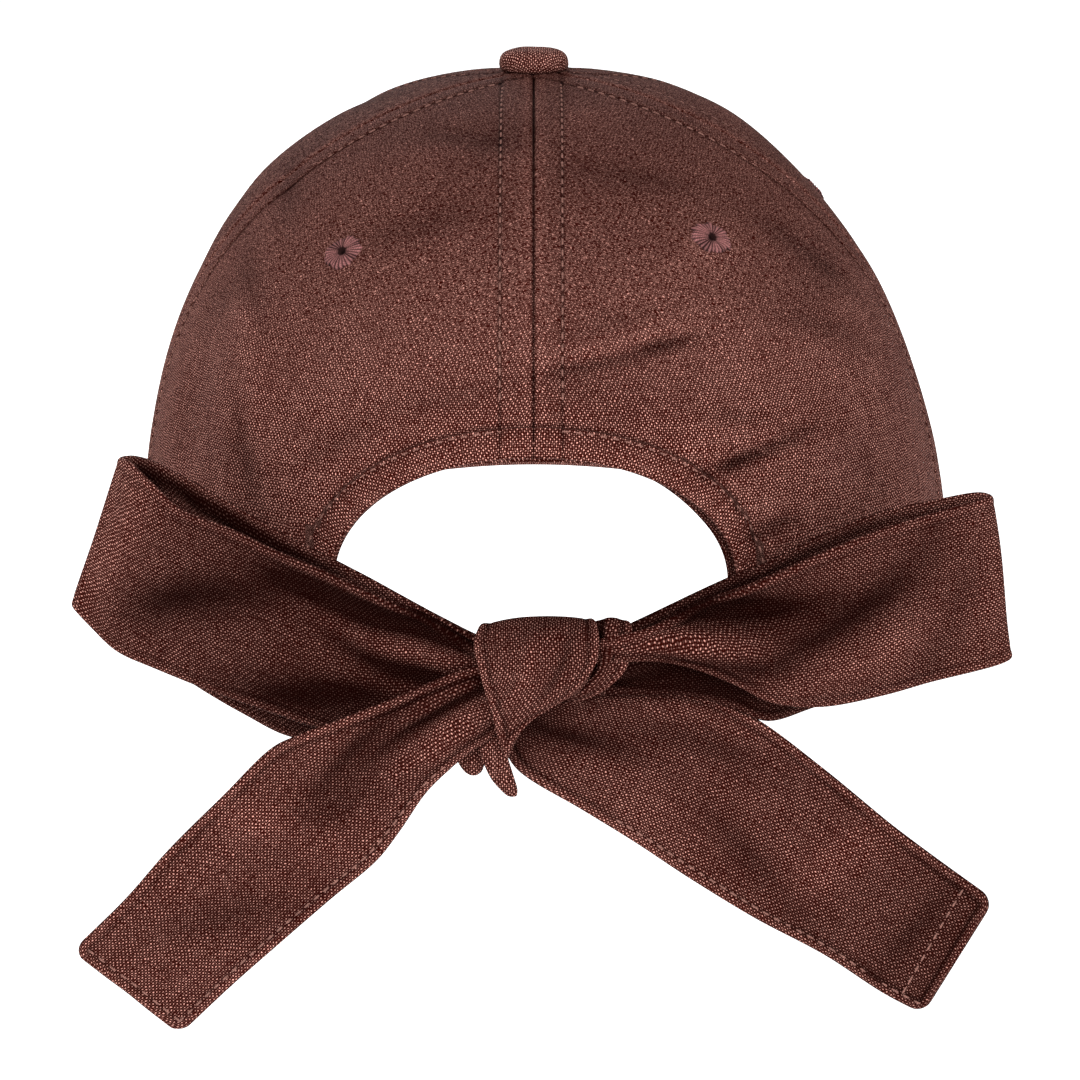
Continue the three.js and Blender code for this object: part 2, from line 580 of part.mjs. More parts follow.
// A ribbon with its thickness
function ribbon(rows, faceSign) {
  const step = 0.04;
  const front = [];
  const back = [];
  const last = rows.length - 1;
  for (let i = 0; i <= last * steps.ribbonPerRow; i++) {
    const s = i / steps.ribbonPerRow;
    const wall = throughValues(rows.map((row) => row.wall), s);
    const frontRow = [];
    const backRow = [];
    for (let j = 0; j <= steps.ribbonAcross; j++) {
      const w = j / steps.ribbonAcross;
      const place = ribbonPoint(rows, faceSign, s, w);
      const along = ribbonPoint(rows, faceSign, Math.min(last, s + step), w)
        .sub(ribbonPoint(rows, faceSign, Math.max(0, s - step), w));
      const side = ribbonPoint(rows, faceSign, s, Math.min(1, w + step))
        .sub(ribbonPoint(rows, faceSign, s, Math.max(0, w - step)));
      const normal = along.cross(side).normalize().multiplyScalar(faceSign);
      frontRow.push(place.clone().addScaledVector(normal, wall / 2));
      backRow.push(place.clone().addScaledVector(normal, -wall / 2));
    }
    front.push(frontRow);
    back.push(backRow);
  }
  return skin(front, back);
}

// A rounded lump through level slices, grown by this much all round
function slices(rows, grow = 0, around = 16) {
  const rings = rows.map((row, i) => {
    const half = (row.left - row.right) / 2 + grow;
    const raised = i === 0 ? grow : 0;
    const lowered = i === rows.length - 1 ? grow : 0;
    const middle = new THREE.Vector3((row.left + row.right) / 2, row.y, 0);
    const ring = levelRing(around, half, row.deep + grow, row.z + raised - lowered);
    return ring.map((spot) => spot.add(middle));
  });
  return lofted(rings);
}

// Putting the cap together

const cap = new THREE.Group();

function add(name, geometry, material) {
  const mesh = new THREE.Mesh(geometry, material);
  mesh.name = name;
  cap.add(mesh);
  return mesh;
}

for (const { name, sign } of sides) {
  eyelets.forEach((eyeletRow, k) => {
    const { round, up } = eyeletRow[name];
    const shell = panel(seams[k], seams[k + 1], sign, k === 0);
    add(`panel_${eyeletRow.name}_${name}`, cut(shell, holeTool(round, up)), cloth);
    add(`eyelet_${eyeletRow.name}_${name}`, eyeletRing(round, up), thread);
  });
}

const top = add('button', buttonDome(), cloth);
top.position.set(0, crown.topBack, crown.height + button.seat);
top.rotation.x = crown.topSlope * RAD;

add('arch_facing', archFacing(), cloth);
add('peak', peakBoard(), cloth);

const knotRoom = slices(knotRows, GAP);

// The tie's rows on one side
function tieRows(sign) {
  const placed = (row, [x, y, z]) => {
    if (!row.sewn) return [sign * x, y, z];
    const { round, up } = onBack(sign * x, z);
    return crownPoint(round, up, -GAP - row.wall / 2).toArray();
  };
  return tie.map((row) => ({ ...row, top: placed(row, row.top), bottom: placed(row, row.bottom) }));
}

add('tie_strap_left', cut(ribbon(tieRows(1), 1), knotRoom), cloth);
add('tie_strap_right', cut(ribbon(tieRows(-1), -1), knotRoom), cloth);
add('bow_loop_left', cut(ribbon(leftLoop, 1), knotRoom), cloth);
add('bow_loop_right', cut(ribbon(rightLoop, -1), knotRoom), cloth);
add('bow_tail_left', cut(ribbon(leftTail, -1), knotRoom), cloth);
add('bow_tail_right', cut(ribbon(rightTail, 1), knotRoom), cloth);
add('bow_knot', slices(knotRows), cloth);
add('bow_knot_curl', slices(curlRows, 0, 12), cloth);

export default cap;
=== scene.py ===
import math

import bmesh
import bpy
import numpy as np
from bpy.props import FloatProperty, FloatVectorProperty, PointerProperty
from mathutils import Matrix, Vector


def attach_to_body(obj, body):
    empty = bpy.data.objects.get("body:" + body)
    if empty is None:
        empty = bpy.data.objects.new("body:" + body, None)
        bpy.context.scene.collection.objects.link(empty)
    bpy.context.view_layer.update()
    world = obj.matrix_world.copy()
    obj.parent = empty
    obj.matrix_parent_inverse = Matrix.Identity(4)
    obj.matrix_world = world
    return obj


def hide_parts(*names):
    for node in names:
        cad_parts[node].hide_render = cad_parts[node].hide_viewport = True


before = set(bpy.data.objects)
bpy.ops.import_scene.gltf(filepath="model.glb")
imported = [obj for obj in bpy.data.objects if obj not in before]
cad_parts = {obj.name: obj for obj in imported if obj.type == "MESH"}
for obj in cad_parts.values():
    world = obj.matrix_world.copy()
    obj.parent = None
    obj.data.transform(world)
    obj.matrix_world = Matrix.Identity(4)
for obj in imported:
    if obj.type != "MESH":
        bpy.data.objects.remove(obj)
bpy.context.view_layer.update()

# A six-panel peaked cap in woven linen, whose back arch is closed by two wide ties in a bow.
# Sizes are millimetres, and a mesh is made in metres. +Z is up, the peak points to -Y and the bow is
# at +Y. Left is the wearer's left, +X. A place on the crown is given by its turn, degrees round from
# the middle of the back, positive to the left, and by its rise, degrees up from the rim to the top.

bl_info = {
    "name": "Linen Bow Cap",
    "version": (1, 0, 0),
    "blender": (4, 5, 0),
    "location": "3D View > Sidebar > Cap",
    "description": "Makes a linen cap whose back opening is tied in a bow",
    "category": "Add Mesh",
}

MM = 0.001
GAP = 0.3  # kept between two pieces
STEP_UP = 15  # degrees of rise between the values of a list that goes up the crown
RIM_HEM = 7.5  # width of the hem round the rim
PEAK_ROWS = 5
FIRST_PEAK_ROW = 5.5  # from the peak's edge to its first row of stitches
TAIL_PER_ROW = 18  # lines of points for each row of a tail

# The number of each piece's cloth, by which its yarns differ. The panels' numbers are all under
# LAST_PANEL_CLOTH.
PANEL_CLOTH = 10.0
LAST_PANEL_CLOTH = 30.0
FACING_CLOTH = 31.0
ARCH_HEM_CLOTH = 33.0
BUTTON_CLOTH = 41.0
PEAK_CLOTH = 51.0
TIE_CLOTH = 60
LOOP_CLOTH = {"left": 71, "right": 72}
TAIL_CLOTH = {"left": 81, "right": 82}
KNOT_CLOTH = {"body": 91, "wrap": 92, "side_wrap": 93, "end": 94, "end_behind": 95}


def size(name, description, default):
    """A length in millimetres that a user can change"""
    return FloatProperty(name=name, description=description + ", in mm", default=default, min=0.0)


def share(name, description, default):
    """A plain number that a user can change"""
    return FloatProperty(name=name, description=description, default=default)


def tint(name, description, default):
    """A colour that a user can change"""
    return FloatVectorProperty(
        name=name, description=description, subtype="COLOR", size=3, min=0.0, max=1.0, default=default
    )


class CrownSettings(bpy.types.PropertyGroup):
    """The crown, the arch in its back, its button and its eyelets"""

    half_width_left: size("Left half width", "Half the rim's width on the left", 86.9)
    half_width_right: size("Right half width", "Half the rim's width on the right", 90.2)
    half_length: size("Half length", "Half the rim's length", 97.0)
    height: size("Height", "The crown's height", 115.5)
    squareness: share("Squareness", "2 is an ellipse from the side, more is boxier", 2.27)
    top_slope: share("Top slope", "Degrees that the very top falls forwards", 1.0)
    top_back: size("Top set back", "How far the button sits behind the rim's middle", 6.0)
    front_rise: size("Front rise", "How far the rim lifts over the forehead", 10.0)
    wall: size("Wall", "Thickness of the cloth", 1.5)
    top_hole: size("Top hole", "Radius left open under the button", 4.0)
    arch_half_width: size("Arch half width", "Half the arch's width", 42.5)
    arch_height: size("Arch height", "Height of the arch over the rim", 48.0)
    arch_side: size("Arch side height", "Height where the arch's curve ends", 20.0)
    arch_flare: size("Arch flare", "How far the arch's sides spread on their way down", 3.0)
    arch_curved: share("Arch curve", "Share of the arch's edge that is curved", 0.72)
    hem: size("Hem", "Width of the arch's turned hem", 6.4)
    facing_width: size("Facing width", "Width of the band inside the arch", 12.0)
    facing_wall: size("Facing wall", "Thickness of the band inside the arch", 1.1)
    stitch_left: size("Left stitching", "From a seam to the stitches on its left", 7.0)
    stitch_right: size("Right stitching", "From a seam to the stitches on its right", 6.0)
    button_radius: size("Button radius", "Radius of the covered button", 7.5)
    button_height: size("Button height", "Height of the covered button", 5.2)
    eyelet_half_width: size("Eyelet half width", "Half an eyelet's width", 4.7)
    eyelet_half_height: size("Eyelet half height", "Half an eyelet's height", 3.7)
    eyelet_hole: size("Eyelet hole", "Radius of an eyelet's hole", 1.0)


class PeakSettings(bpy.types.PropertyGroup):
    """The peak over the forehead"""

    attach: share("Attached", "Degrees of the rim that carry it, to each side", 62.0)
    length: size("Length", "How far it reaches past the crown", 70.0)
    half_width: size("Half width", "Half its width", 84.0)
    corner_back: size("Corners", "How far in front of the rim's middle its corners lie", 41.0)
    roundness: share("Roundness", "1 is an ellipse, less is squarer", 0.85)
    wall: size("Wall", "Its thickness at the crown", 2.8)
    edge_wall: size("Edge wall", "Its thickness at the front edge", 1.6)
    slope: share("Slope", "Degrees that it falls forwards", 7.0)
    camber: share("Camber", "How much more it falls towards its sides", 0.0016)
    row_gap: size("Stitch rows", "Between its rows of stitches", 8.0)


class ClothSettings(bpy.types.PropertyGroup):
    """The linen and the threads"""

    yarn: size("Yarn", "From one yarn of the linen to the next", 0.48)
    # The dark and light linen draw the weave: the near-black between the yarns is partly painted shade,
    # and the pale tops of the yarns partly a painted highlight for their sheen
    dark: tint("Dark linen", "The linen between its yarns", (0.034, 0.0016, 0.0004))
    light: tint("Light linen", "The linen on top of its yarns", (0.97, 0.465, 0.378))
    thread: tint("Eyelet thread", "The thread round the eyelets", (0.22, 0.09, 0.086))
    stitch: size("Stitch", "Length of one stitch", 1.7)
    stitch_pitch: size("Stitch pitch", "From one stitch to the next", 2.6)
    stitch_radius: size("Stitch radius", "Half a stitch's thickness", 0.24)


class StageSettings(bpy.types.PropertyGroup):
    """The floor, the lights and the camera"""

    floor_drop: size("Floor drop", "How far under the rim the floor lies", 260.0)
    floor_colour: tint("Floor", "The pale floor", (0.93, 0.93, 0.93))
    camera_distance: size("Camera distance", "From the camera to the cap", 1350.0)
    camera_rise: share("Camera rise", "Degrees that the camera looks down", 12.5)
    camera_lens: size("Lens", "Focal length on a 36 mm sensor", 202.7)


# Where the panels meet: the turn of each seam at every STEP_UP from the rim to the top
SEAMS = [
    {"name": "back", "turns": [0, 0, 0, 0, 0, 0, 0]},
    {"name": "side back", "turns": [86, 86, 84.5, 77, 66.5, 57, 52]},
    {"name": "side front", "turns": [132, 132, 131, 129, 126, 122, 118]},
    {"name": "front", "turns": [180, 180, 180, 180, 180, 180, 180]},
]
SIDES = [("left", 1), ("right", -1)]

# The middle of each panel's eyelet
EYELETS = [
    {"name": "back", "left": (35.5, 44.8), "right": (-33.2, 47)},
    {"name": "side", "left": (110, 46), "right": (-110, 46)},
    {"name": "front", "left": (154, 46), "right": (-154, 46)},
]

# Painted shade of the crown at every STEP_UP from the rim to the top, deepest towards the top where less
# light falls: below 0 is darker
CROWN_PAINTED_SHADE = [-0.4, -0.1, -0.2, -0.6, -1.1, -1.4, -1.4]

# Soft dents (below 0) and swells (above 0) of the crown: turn, rise, length, width, degrees turned
# from level, and depth
DENTS = [
    (95, 8, 16, 16, 0, -0.5),
    (95, 28, 20, 20, 0, 0.5),
    (95, 48, 20, 20, 0, 1.6),
    (95, 70, 22, 22, 0, 0.6),
    (-95, 8, 16, 16, 0, 1.4),
    (-95, 28, 20, 20, 0, -1),
    (-95, 48, 20, 20, 0, -1.2),
    (-95, 70, 22, 22, 0, 1.1),
    (-16, 26.5, 26, 9, 5, 1.4),
    (-17, 31.5, 24, 8, 5, -1.2),
    (-38, 16, 16, 8, 6, -1.1),
    (-36, 21, 18, 8, 6, 1),
    (35, 30, 24, 14, 60, -1),
    (62, 22, 22, 12, 70, -1.2),
    (130, 28, 20, 11, 70, -1.5),
    (-135, 28, 20, 11, 70, -1.5),
    (165, 58, 24, 12, 10, -1.2),
]

# Sharper creases of the crown, in the same columns. The panels paint shade into them and highlight onto
# their ridges, by their depth.
CREASES = [
    (-9, 32, 12, 1.2, -9, -0.65),
    (-9, 34, 12, 1.8, -9, 0.5),
    (-19.5, 34, 8, 1.4, -9, -1.15),
    (-20, 36, 9, 1.8, -9, 0.5),
    (-28.5, 20, 9, 1.7, -14, -1.4),
    (-29.5, 22.4, 10, 2, -14, 0.6),
    (-33, 12.6, 8, 1.6, -8, -1),
    (-33, 14.6, 9, 1.8, -8, 0.5),
    (-38, 21.5, 9, 1.5, -14, -0.7),
    (-30, 24.5, 11, 2, 12, -0.5),
    (-12, 37, 10, 2.5, -12, -0.35),
    (-52, 33, 14, 3, 20, -0.4),
    (-58, 42, 16, 3.5, 40, -0.35),
    (12, 28, 12, 3, -12, -0.35),
    (28, 22, 12, 3, -30, -0.4),
    (44, 18, 15, 3.5, 60, -0.5),
    (50, 30, 16, 4, 52, 0.45),
    (57, 38, 14, 4, 35, -0.45),
    (22, 50, 14, 4, -20, -0.35),
    (-24, 58, 16, 4, 15, -0.35),
    (66, 52, 15, 4, 30, -0.4),
]

# An eyelet's section, from inside its hole over its top to under its edge: 0 is the hole's edge and 1
# the outer one, and then the height
EYELET_SECTION = [
    (-0.14, -2.4), (-0.18, -1.2), (-0.16, -0.4), (-0.1, 0.1), (0.05, 0.34), (0.3, 0.42), (0.5, 0.42),
    (0.7, 0.36), (0.86, 0.24), (0.96, 0.05), (1.0, -0.2), (0.8, -0.4), (0.3, -0.4),
]

# The button's section, from under its edge to its top: distance from its middle and height
BUTTON_SECTION = [
    (2.0, 0.35), (4.6, 0.15), (6.3, 0.1), (6.9, 0.35), (7.35, 0.95), (7.5, 1.7), (7.48, 2.5), (7.28, 3.25),
    (6.85, 3.9), (6.2, 4.4), (5.3, 4.75), (4.2, 4.98), (3.0, 5.1), (1.8, 5.17), (0.7, 5.2),
]

# A stitch from end to end: its place along its length, and its thickness and height as shares of its
# radius
STITCH_SECTION = [
    (-0.5, 0.25, -0.9), (-0.42, 0.8, -0.25), (-0.2, 1.0, 0.1), (0.2, 1.0, 0.1), (0.42, 0.8, -0.25),
    (0.5, 0.25, -0.9),
]

# The rows of each ribbon, from the knot outwards: its upper edge, its lower edge, how far it swells
# along its face at a quarter, a half and three quarters of its width from the top, and its thickness
PLAIN = (0, 0, 0)
LEFT_LOOP = [
    ((4, 101, 10), (4, 101, 1), PLAIN, 3.4),
    ((12, 100.5, 12.5), (12, 100.5, 0), (1, -1, 1), 3),
    ((19.3, 98, 15.8), (19.5, 98, -3), (1, -1, 1), 2.4),
    ((28, 94.5, 20), (28.5, 94.5, -8), PLAIN, 1.8),
    ((39.2, 90, 25.2), (40, 90, -13.2), PLAIN, 1.8),
    ((50.6, 84, 29.5), (51.2, 85, -12.9), PLAIN, 1.8),
    ((61.2, 79, 34.6), (60.5, 80.5, -9.4), PLAIN, 1.8),
    ((69.7, 75, 38.7), (70.2, 76, -4.8), PLAIN, 1.8),
    ((78.3, 70, 42.4), (82, 70.5, 1.8), PLAIN, 1.8),
    ((84, 66.8, 43.4), (92.3, 67, 7.4), PLAIN, 1.8),
    ((86.2, 69, 43.4), (96.8, 69.5, 10.9), PLAIN, 1.8),
    ((84.3, 72, 42.9), (93, 73.5, 7.6), PLAIN, 1.8),
    ((79.8, 77, 40), (87.3, 78, 3.6), (0.5, 0.5, 0.3), 1.8),
    ((73.1, 82, 35.1), (79.2, 83, 1.2), (1, 1, 0.5), 1.8),
    ((62.8, 89, 32.6), (66, 90, -2.4), (0.5, 1, 0.8), 1.8),
    ((52.7, 94, 28.8), (54.5, 96, -5), (-0.5, 0.5, 1), 1.8),
    ((43.9, 98, 25.9), (44.6, 99, -7.6), (-2, -0.5, 1), 1.8),
    ((34.6, 101.5, 22.2), (34.8, 101.5, -9), (-3.5, -2, 1), 1.8),
    ((25.3, 105, 18.4), (25.4, 102.5, -6), (-3.5, -2.5, 1), 2),
    ((17.5, 107, 14.4), (17.5, 104, -1.5), (-2, -1.5, 0.5), 2.6),
    ((8, 106, 10), (8, 105, 4), PLAIN, 3),
]
RIGHT_LOOP = [
    ((-6, 101, 10), (-6, 101, 1), PLAIN, 3.4),
    ((-14, 100.5, 11.8), (-14, 100.5, 0), (1, -1, 1), 3),
    ((-22, 98, 15.2), (-22, 98, -1), (1, -1, 1), 2.4),
    ((-31, 94.5, 19), (-31.2, 95, -1.6), PLAIN, 1.8),
    ((-40.4, 90.5, 22.5), (-40.6, 91, -5), PLAIN, 1.8),
    ((-48.6, 86.5, 25), (-48.9, 87.5, -9), PLAIN, 1.8),
    ((-60.5, 80, 29.4), (-59, 81, -7.6), PLAIN, 1.8),
    ((-72.7, 74, 32.8), (-73, 75, -4.4), PLAIN, 1.8),
    ((-85.8, 69, 34.6), (-87, 69.5, -1.8), PLAIN, 1.8),
    ((-93, 66.8, 35.4), (-97, 67, -0.4), PLAIN, 1.8),
    ((-95.6, 69, 35.3), (-100.3, 69.2, -0.2), PLAIN, 1.8),
    ((-92.8, 72.5, 34.9), (-96.5, 73, -0.9), PLAIN, 1.8),
    ((-82.7, 78, 33.2), (-84.6, 79.5, -2.3), (0.5, 1, 0.5), 1.8),
    ((-71.9, 84, 31.2), (-72.4, 86, -4), (0, 1, 1), 1.8),
    ((-60.1, 90, 27.8), (-60, 92, -4.8), (-2, 0.5, 1.5), 1.8),
    ((-48.8, 96, 23.8), (-49.5, 96, -2.8), (-4, 0, 2.5), 1.8),
    ((-39.4, 100.5, 20.6), (-41.6, 100, 1.8), (-4, 0.5, 2.5), 1.8),
    ((-30.7, 104, 17.6), (-33.2, 104, 6), (-2.5, 1, 1.5), 2),
    ((-22, 106, 15), (-24, 106, 8.2), (0, 0.5, 0.5), 2.6),
    ((-13, 106, 13), (-13, 106, 7.6), PLAIN, 3),
]
LEFT_TAIL = [
    ((8.9, 108, 8.6), (5, 107.5, -4), PLAIN, 3),
    ((15, 109.4, 7.4), (9.3, 108.5, -7.8), (0.5, -1, 0), 2.6),
    ((21.2, 109.5, 4.8), (12.6, 109, -9.8), (1, -2, 0.5), 2.2),
    ((29.4, 109, 1), (17.2, 109, -13.8), (1, -2, 0.5), 1.8),
    ((38.7, 108, -3), (22.3, 108, -19.3), (0.5, -1.5, 0.5), 1.8),
    ((47.8, 107, -6.8), (27.6, 107, -27.5), (0, -0.5, 0.5), 1.8),
    ((54.5, 106, -10.5), (32.8, 106, -34.4), (0, 0, 0.5), 1.8),
    ((63.7, 104.5, -20.1), (42, 105, -42.6), (0.5, 0.5, 0), 1.8),
    ((75.5, 103, -32.4), (53.7, 104, -53.3), (0.5, 0, -0.5), 1.8),
    ((84.8, 102, -43.4), (63, 103, -62), (0, -0.5, -0.5), 1.8),
    ((96.1, 101, -54.9), (73.8, 102, -72.7), (0, -0.5, 0), 1.8),
]
RIGHT_TAIL = [
    ((0, 101.5, 1.5), (6.9, 102, -9), PLAIN, 3),
    ((-8.8, 96.6, 0.2), (2.8, 99.5, -16.9), (0.5, 0.5, 0), 2.4),
    ((-22, 91.8, 0), (-10.1, 96, -25.9), (0.5, 0.5, 0), 1.8),
    ((-34.5, 88.4, -2.4), (-21.2, 93.5, -33.6), (0.5, 1, 0.5), 1.8),
    ((-46.9, 87, -8.8), (-32.7, 92.5, -41.7), (0.5, 1, 0.5), 1.8),
    ((-60.4, 89, -18.7), (-46.3, 93, -50.1), (0, 0.5, 0.5), 1.8),
    ((-74.9, 91.5, -30.3), (-60.8, 94, -57.8), (-0.5, 0, 0), 1.8),
    ((-86.8, 94, -38.9), (-72.5, 95, -65.4), (-0.5, -0.5, 0), 1.8),
    ((-96.2, 96, -45.3), (-81.6, 96, -70.1), PLAIN, 1.8),
]

# The left tie, from the corner of the arch to the knot. The first two rows are sewn to the crown, so
# their depth is the crown's own.
TIE_SEWN = 2
TIE = [
    ((50, 0, 21), (50, 0, 2), (0.4, 0.4, 0.3), 1.8),
    ((44, 0, 20.5), (44, 0, 1.8), PLAIN, 1.8),
    ((38, 87.2, 19), (38, 87.6, 1.6), PLAIN, 1.8),
    ((28, 90, 14), (28, 90, 1.5), PLAIN, 1.8),
    ((18, 92.6, 11), (18, 92.6, 1.5), PLAIN, 1.8),
    ((6, 95.6, 9), (6, 95.6, 2), PLAIN, 2.2),
]

# The knot's outer wrap and the one at its right, from the back of its top over its front: their left
# edge, right edge, swell and thickness
KNOT_WRAP = [
    ((9.5, 101.5, 10.5), (-10.5, 101, 12.5), PLAIN, 1.6),
    ((10, 104.2, 14.2), (-12.3, 103.2, 15.5), (0.8, 1, 0.8), 1.6),
    ((11.3, 107.8, 15.4), (-13, 106.2, 15.7), (1.2, 1.6, 1.3), 1.6),
    ((12.2, 110.2, 12.6), (-13.4, 109.2, 13.4), (1.9, 3, 2.4), 1.6),
    ((11.2, 111.2, 8), (-12.6, 109.8, 8.8), (1.9, 3.2, 2.7), 1.6),
    ((9.8, 111.6, 2.8), (-7.8, 109.8, 3), (1.4, 2.6, 2.2), 1.6),
    ((8.3, 111.8, -2.4), (-0.6, 110, -1.7), (0.5, 1.2, 1), 1.6),
    ((7.4, 111.2, -6.4), (3.4, 110.6, -6.2), (0.1, 0.3, 0.2), 1.6),
    ((6.4, 109.4, -10), (4.9, 109.4, -10.2), PLAIN, 1.4),
]
KNOT_SIDE = [
    ((-11.5, 100.5, 12.5), (-18.5, 100, 11.5), PLAIN, 1.5),
    ((-12, 102.4, 15.2), (-19.8, 102, 14.6), (0.6, 0.8, 0.6), 1.5),
    ((-12, 104.2, 14.8), (-20.3, 104.4, 13.8), (1.2, 1.4, 0.9), 1.5),
    ((-11.2, 104.6, 11.2), (-19.9, 105.4, 10.4), (1.9, 2.4, 1.4), 1.5),
    ((-9.4, 104.6, 6.4), (-18.6, 105.2, 6.2), (1.9, 2.4, 1.4), 1.5),
    ((-5.6, 104.6, 2.4), (-14.2, 104.6, 2.2), (1.2, 1.8, 1), 1.5),
    ((-2.4, 104.4, -0.4), (-8, 103.8, -0.6), PLAIN, 1.5),
]

# The knot's inner body, and the folded end under it, in level slices: height, left, right, depth's
# middle and half the depth
KNOT_BODY = [
    (16.8, 5, -3, 104.6, 1.6),
    (15.4, 9.4, -11, 104.2, 4.4),
    (13, 11.4, -17.4, 103.8, 6.6),
    (10, 11.5, -18.6, 103.4, 7.6),
    (6.4, 10.6, -17.6, 103.4, 8.2),
    (3, 9.6, -12.8, 103.8, 8),
    (-0.6, 8.4, -4.8, 104.8, 6.8),
    (-4, 7.6, 0.8, 105.8, 5),
    (-8, 7, 3.4, 106.8, 2.6),
    (-12, 6.1, 5.2, 107.3, 1),
]
CURL_TONGUE = [
    (-5.5, 11.6, 6.6, 106.2, 1.4),
    (-9.5, 11.3, 5.9, 106.8, 1.9),
    (-13, 10.3, 4.9, 106.9, 2),
    (-16.3, 8.8, 3.9, 106.7, 1.8),
    (-18.6, 7, 3.3, 106.4, 1.4),
    (-20, 5.6, 3.4, 106.2, 0.7),
    (-20.3, 4.9, 3.8, 106.2, 0.3),
]
CURL_LOBE = [
    (-6.5, 15.2, 9.8, 103.2, 1.5),
    (-10.5, 16.2, 10, 103.2, 2.1),
    (-13.5, 15.7, 10, 103.2, 2.1),
    (-15.6, 14.4, 10.6, 103.2, 1.4),
    (-16.5, 13.2, 11.6, 103.2, 0.5),
]

# Folds pressed into a ribbon: its row, its share of the width from the lower edge, length, width,
# degrees turned from the ribbon's run towards its upper edge, and depth along its face
# Each fold's depth also paints the cloth: painted shade where it dips and painted highlight where it
# swells. Some folds, such as those of the knot's side wrap, are there mostly for that painted shade.
LEFT_LOOP_FOLDS = [
    (17.6, 0.84, 26, 3.2, -6, -1.3),
    (18.4, 0.6, 16, 2.4, -10, 0.8),
    (18.2, 0.42, 18, 2.2, -14, -0.9),
    (18.6, 0.25, 14, 2, -8, 0.6),
    (16.6, 0.3, 20, 3.4, 12, -0.6),
    (14, 0.6, 20, 5, 24, -0.6),
    (12.6, 0.35, 18, 5, 40, -0.5),
    (11.6, 0.7, 12, 4, 70, 0.4),
    (15.3, 0.12, 14, 3, 8, -0.5),
    (5, 0.2, 16, 4, 6, -0.5),
    (6.2, 0.925, 22, 1.5, 1, -1.3),
    (8.2, 0.935, 9, 1.6, 0, -1.2),
]
RIGHT_LOOP_FOLDS = [
    (16, 0.84, 26, 3.6, 3, -1.1),
    (16.5, 0.45, 18, 2.6, 9, 0.7),
    (17, 0.2, 16, 2.4, 4, -0.6),
    (14.4, 0.42, 20, 3.4, -14, -0.7),
    (13.4, 0.25, 22, 4, -8, 0.5),
    (12.6, 0.7, 16, 5, -30, -0.5),
    (11.8, 0.3, 16, 4.5, -60, -0.4),
    (4.6, 0.3, 20, 4, 0, -0.7),
]
LEFT_TAIL_FOLDS = [
    (2.2, 0.62, 20, 2, -4, -1),
    (2.4, 0.35, 18, 2.2, -6, 0.6),
    (4.2, 0.72, 20, 2.8, -8, -0.8),
    (5.4, 0.4, 18, 4, 8, -0.5),
    (6.8, 0.62, 14, 4, 60, 0.5),
    (8.2, 0.4, 16, 5, 30, -0.5),
]
RIGHT_TAIL_FOLDS = [
    (1.6, 0.5, 16, 3, 0, -0.7),
    (3.2, 0.72, 22, 4, 10, -0.6),
    (4.6, 0.3, 20, 4, -14, -0.5),
    (5.6, 0.6, 16, 5, 60, 0.5),
    (7, 0.5, 14, 3, 80, -0.35),
]
NO_FOLDS = []
KNOT_FOLDS = {
    "wrap": [
        (4, 0.3, 9, 1.5, 20, -0.55),
        (4.4, 0.62, 9, 1.6, 16, 0.35),
        (5.2, 0.8, 7, 1.2, 12, -0.35),
        (2.6, 0.5, 6, 2, 60, -0.25),
    ],
    "side_wrap": [
        (3, 0.78, 7, 1.5, -6, -2),
        (4.8, 0.78, 7, 1.6, -8, -2),
        (3, 0.35, 6, 1.1, 8, -0.4),
    ],
}

# Painted shade along each ribbon's length, darker where the bow gets less light: below 0 is darker
RIBBON_PAINTED_SHADES = {
    "left_loop": (-0.8, -0.6, -0.45, -0.1, -0.5, -0.65, -0.75),
    "right_loop": (-0.9, -0.88, -0.65, -0.25, -0.45, -0.55, -0.5),
    "left_tail": (-0.7, -0.45, -0.4, -0.35, -0.3),
    "right_tail": (-0.8, -0.4, -0.35, -0.5, -0.65),
    "knot": (-0.65, -0.5, -0.4, -0.6),
}


def mix(a, b, t):
    return a + (b - a) * t


def smooth(t):
    held = np.clip(t, 0, 1)
    return held**2 * (3 - 2 * held)


def bell(t):
    return np.exp(-(t**2))


def length(vectors):
    return np.linalg.norm(vectors, axis=-1, keepdims=True)


def unit(vectors):
    return vectors / np.maximum(length(vectors), 1e-9)


def through(values, t):
    """The smooth curve through evenly spaced values, at the places t counted in values"""
    values = np.asarray(values, float)
    t = np.asarray(t, float)
    last = len(values) - 1
    i = np.clip(np.floor(t).astype(int), 0, last - 1)
    shape = t.shape + (1,) * (values.ndim - 1)
    u = (t - i).reshape(shape)
    b, c = values[i], values[i + 1]
    a = np.where((i > 0).reshape(shape), values[np.maximum(i - 1, 0)], 2 * b - c)
    d = np.where((i + 2 <= last).reshape(shape), values[np.minimum(i + 2, last)], 2 * c - b)
    return b + 0.5 * u * (c - a + u * (2 * a - 5 * b + 4 * c - d + u * (3 * (b - c) + d - a)))


def steps_between(low, high, count):
    return np.linspace(low, high, count)


def away_from(points, line):
    """How far each point lies from a line of points, and how far along the line that is"""
    flat = points.reshape(-1, 3)
    start, run = line[:-1], line[1:] - line[:-1]
    span = np.maximum((run**2).sum(-1), 1e-12)
    along = np.concatenate([[0], np.cumsum(np.sqrt(span))])
    best = np.full(len(flat), np.inf)
    place = np.zeros(len(flat))
    for k in range(len(run)):
        away = flat - start[k]
        t = np.clip(away @ run[k] / span[k], 0, 1)
        gap = ((away - t[:, None] * run[k]) ** 2).sum(-1)
        nearer = gap < best
        best[nearer] = gap[nearer]
        place[nearer] = along[k] + t[nearer] * math.sqrt(span[k])
    return np.sqrt(best).reshape(points.shape[:-1]), place.reshape(points.shape[:-1])


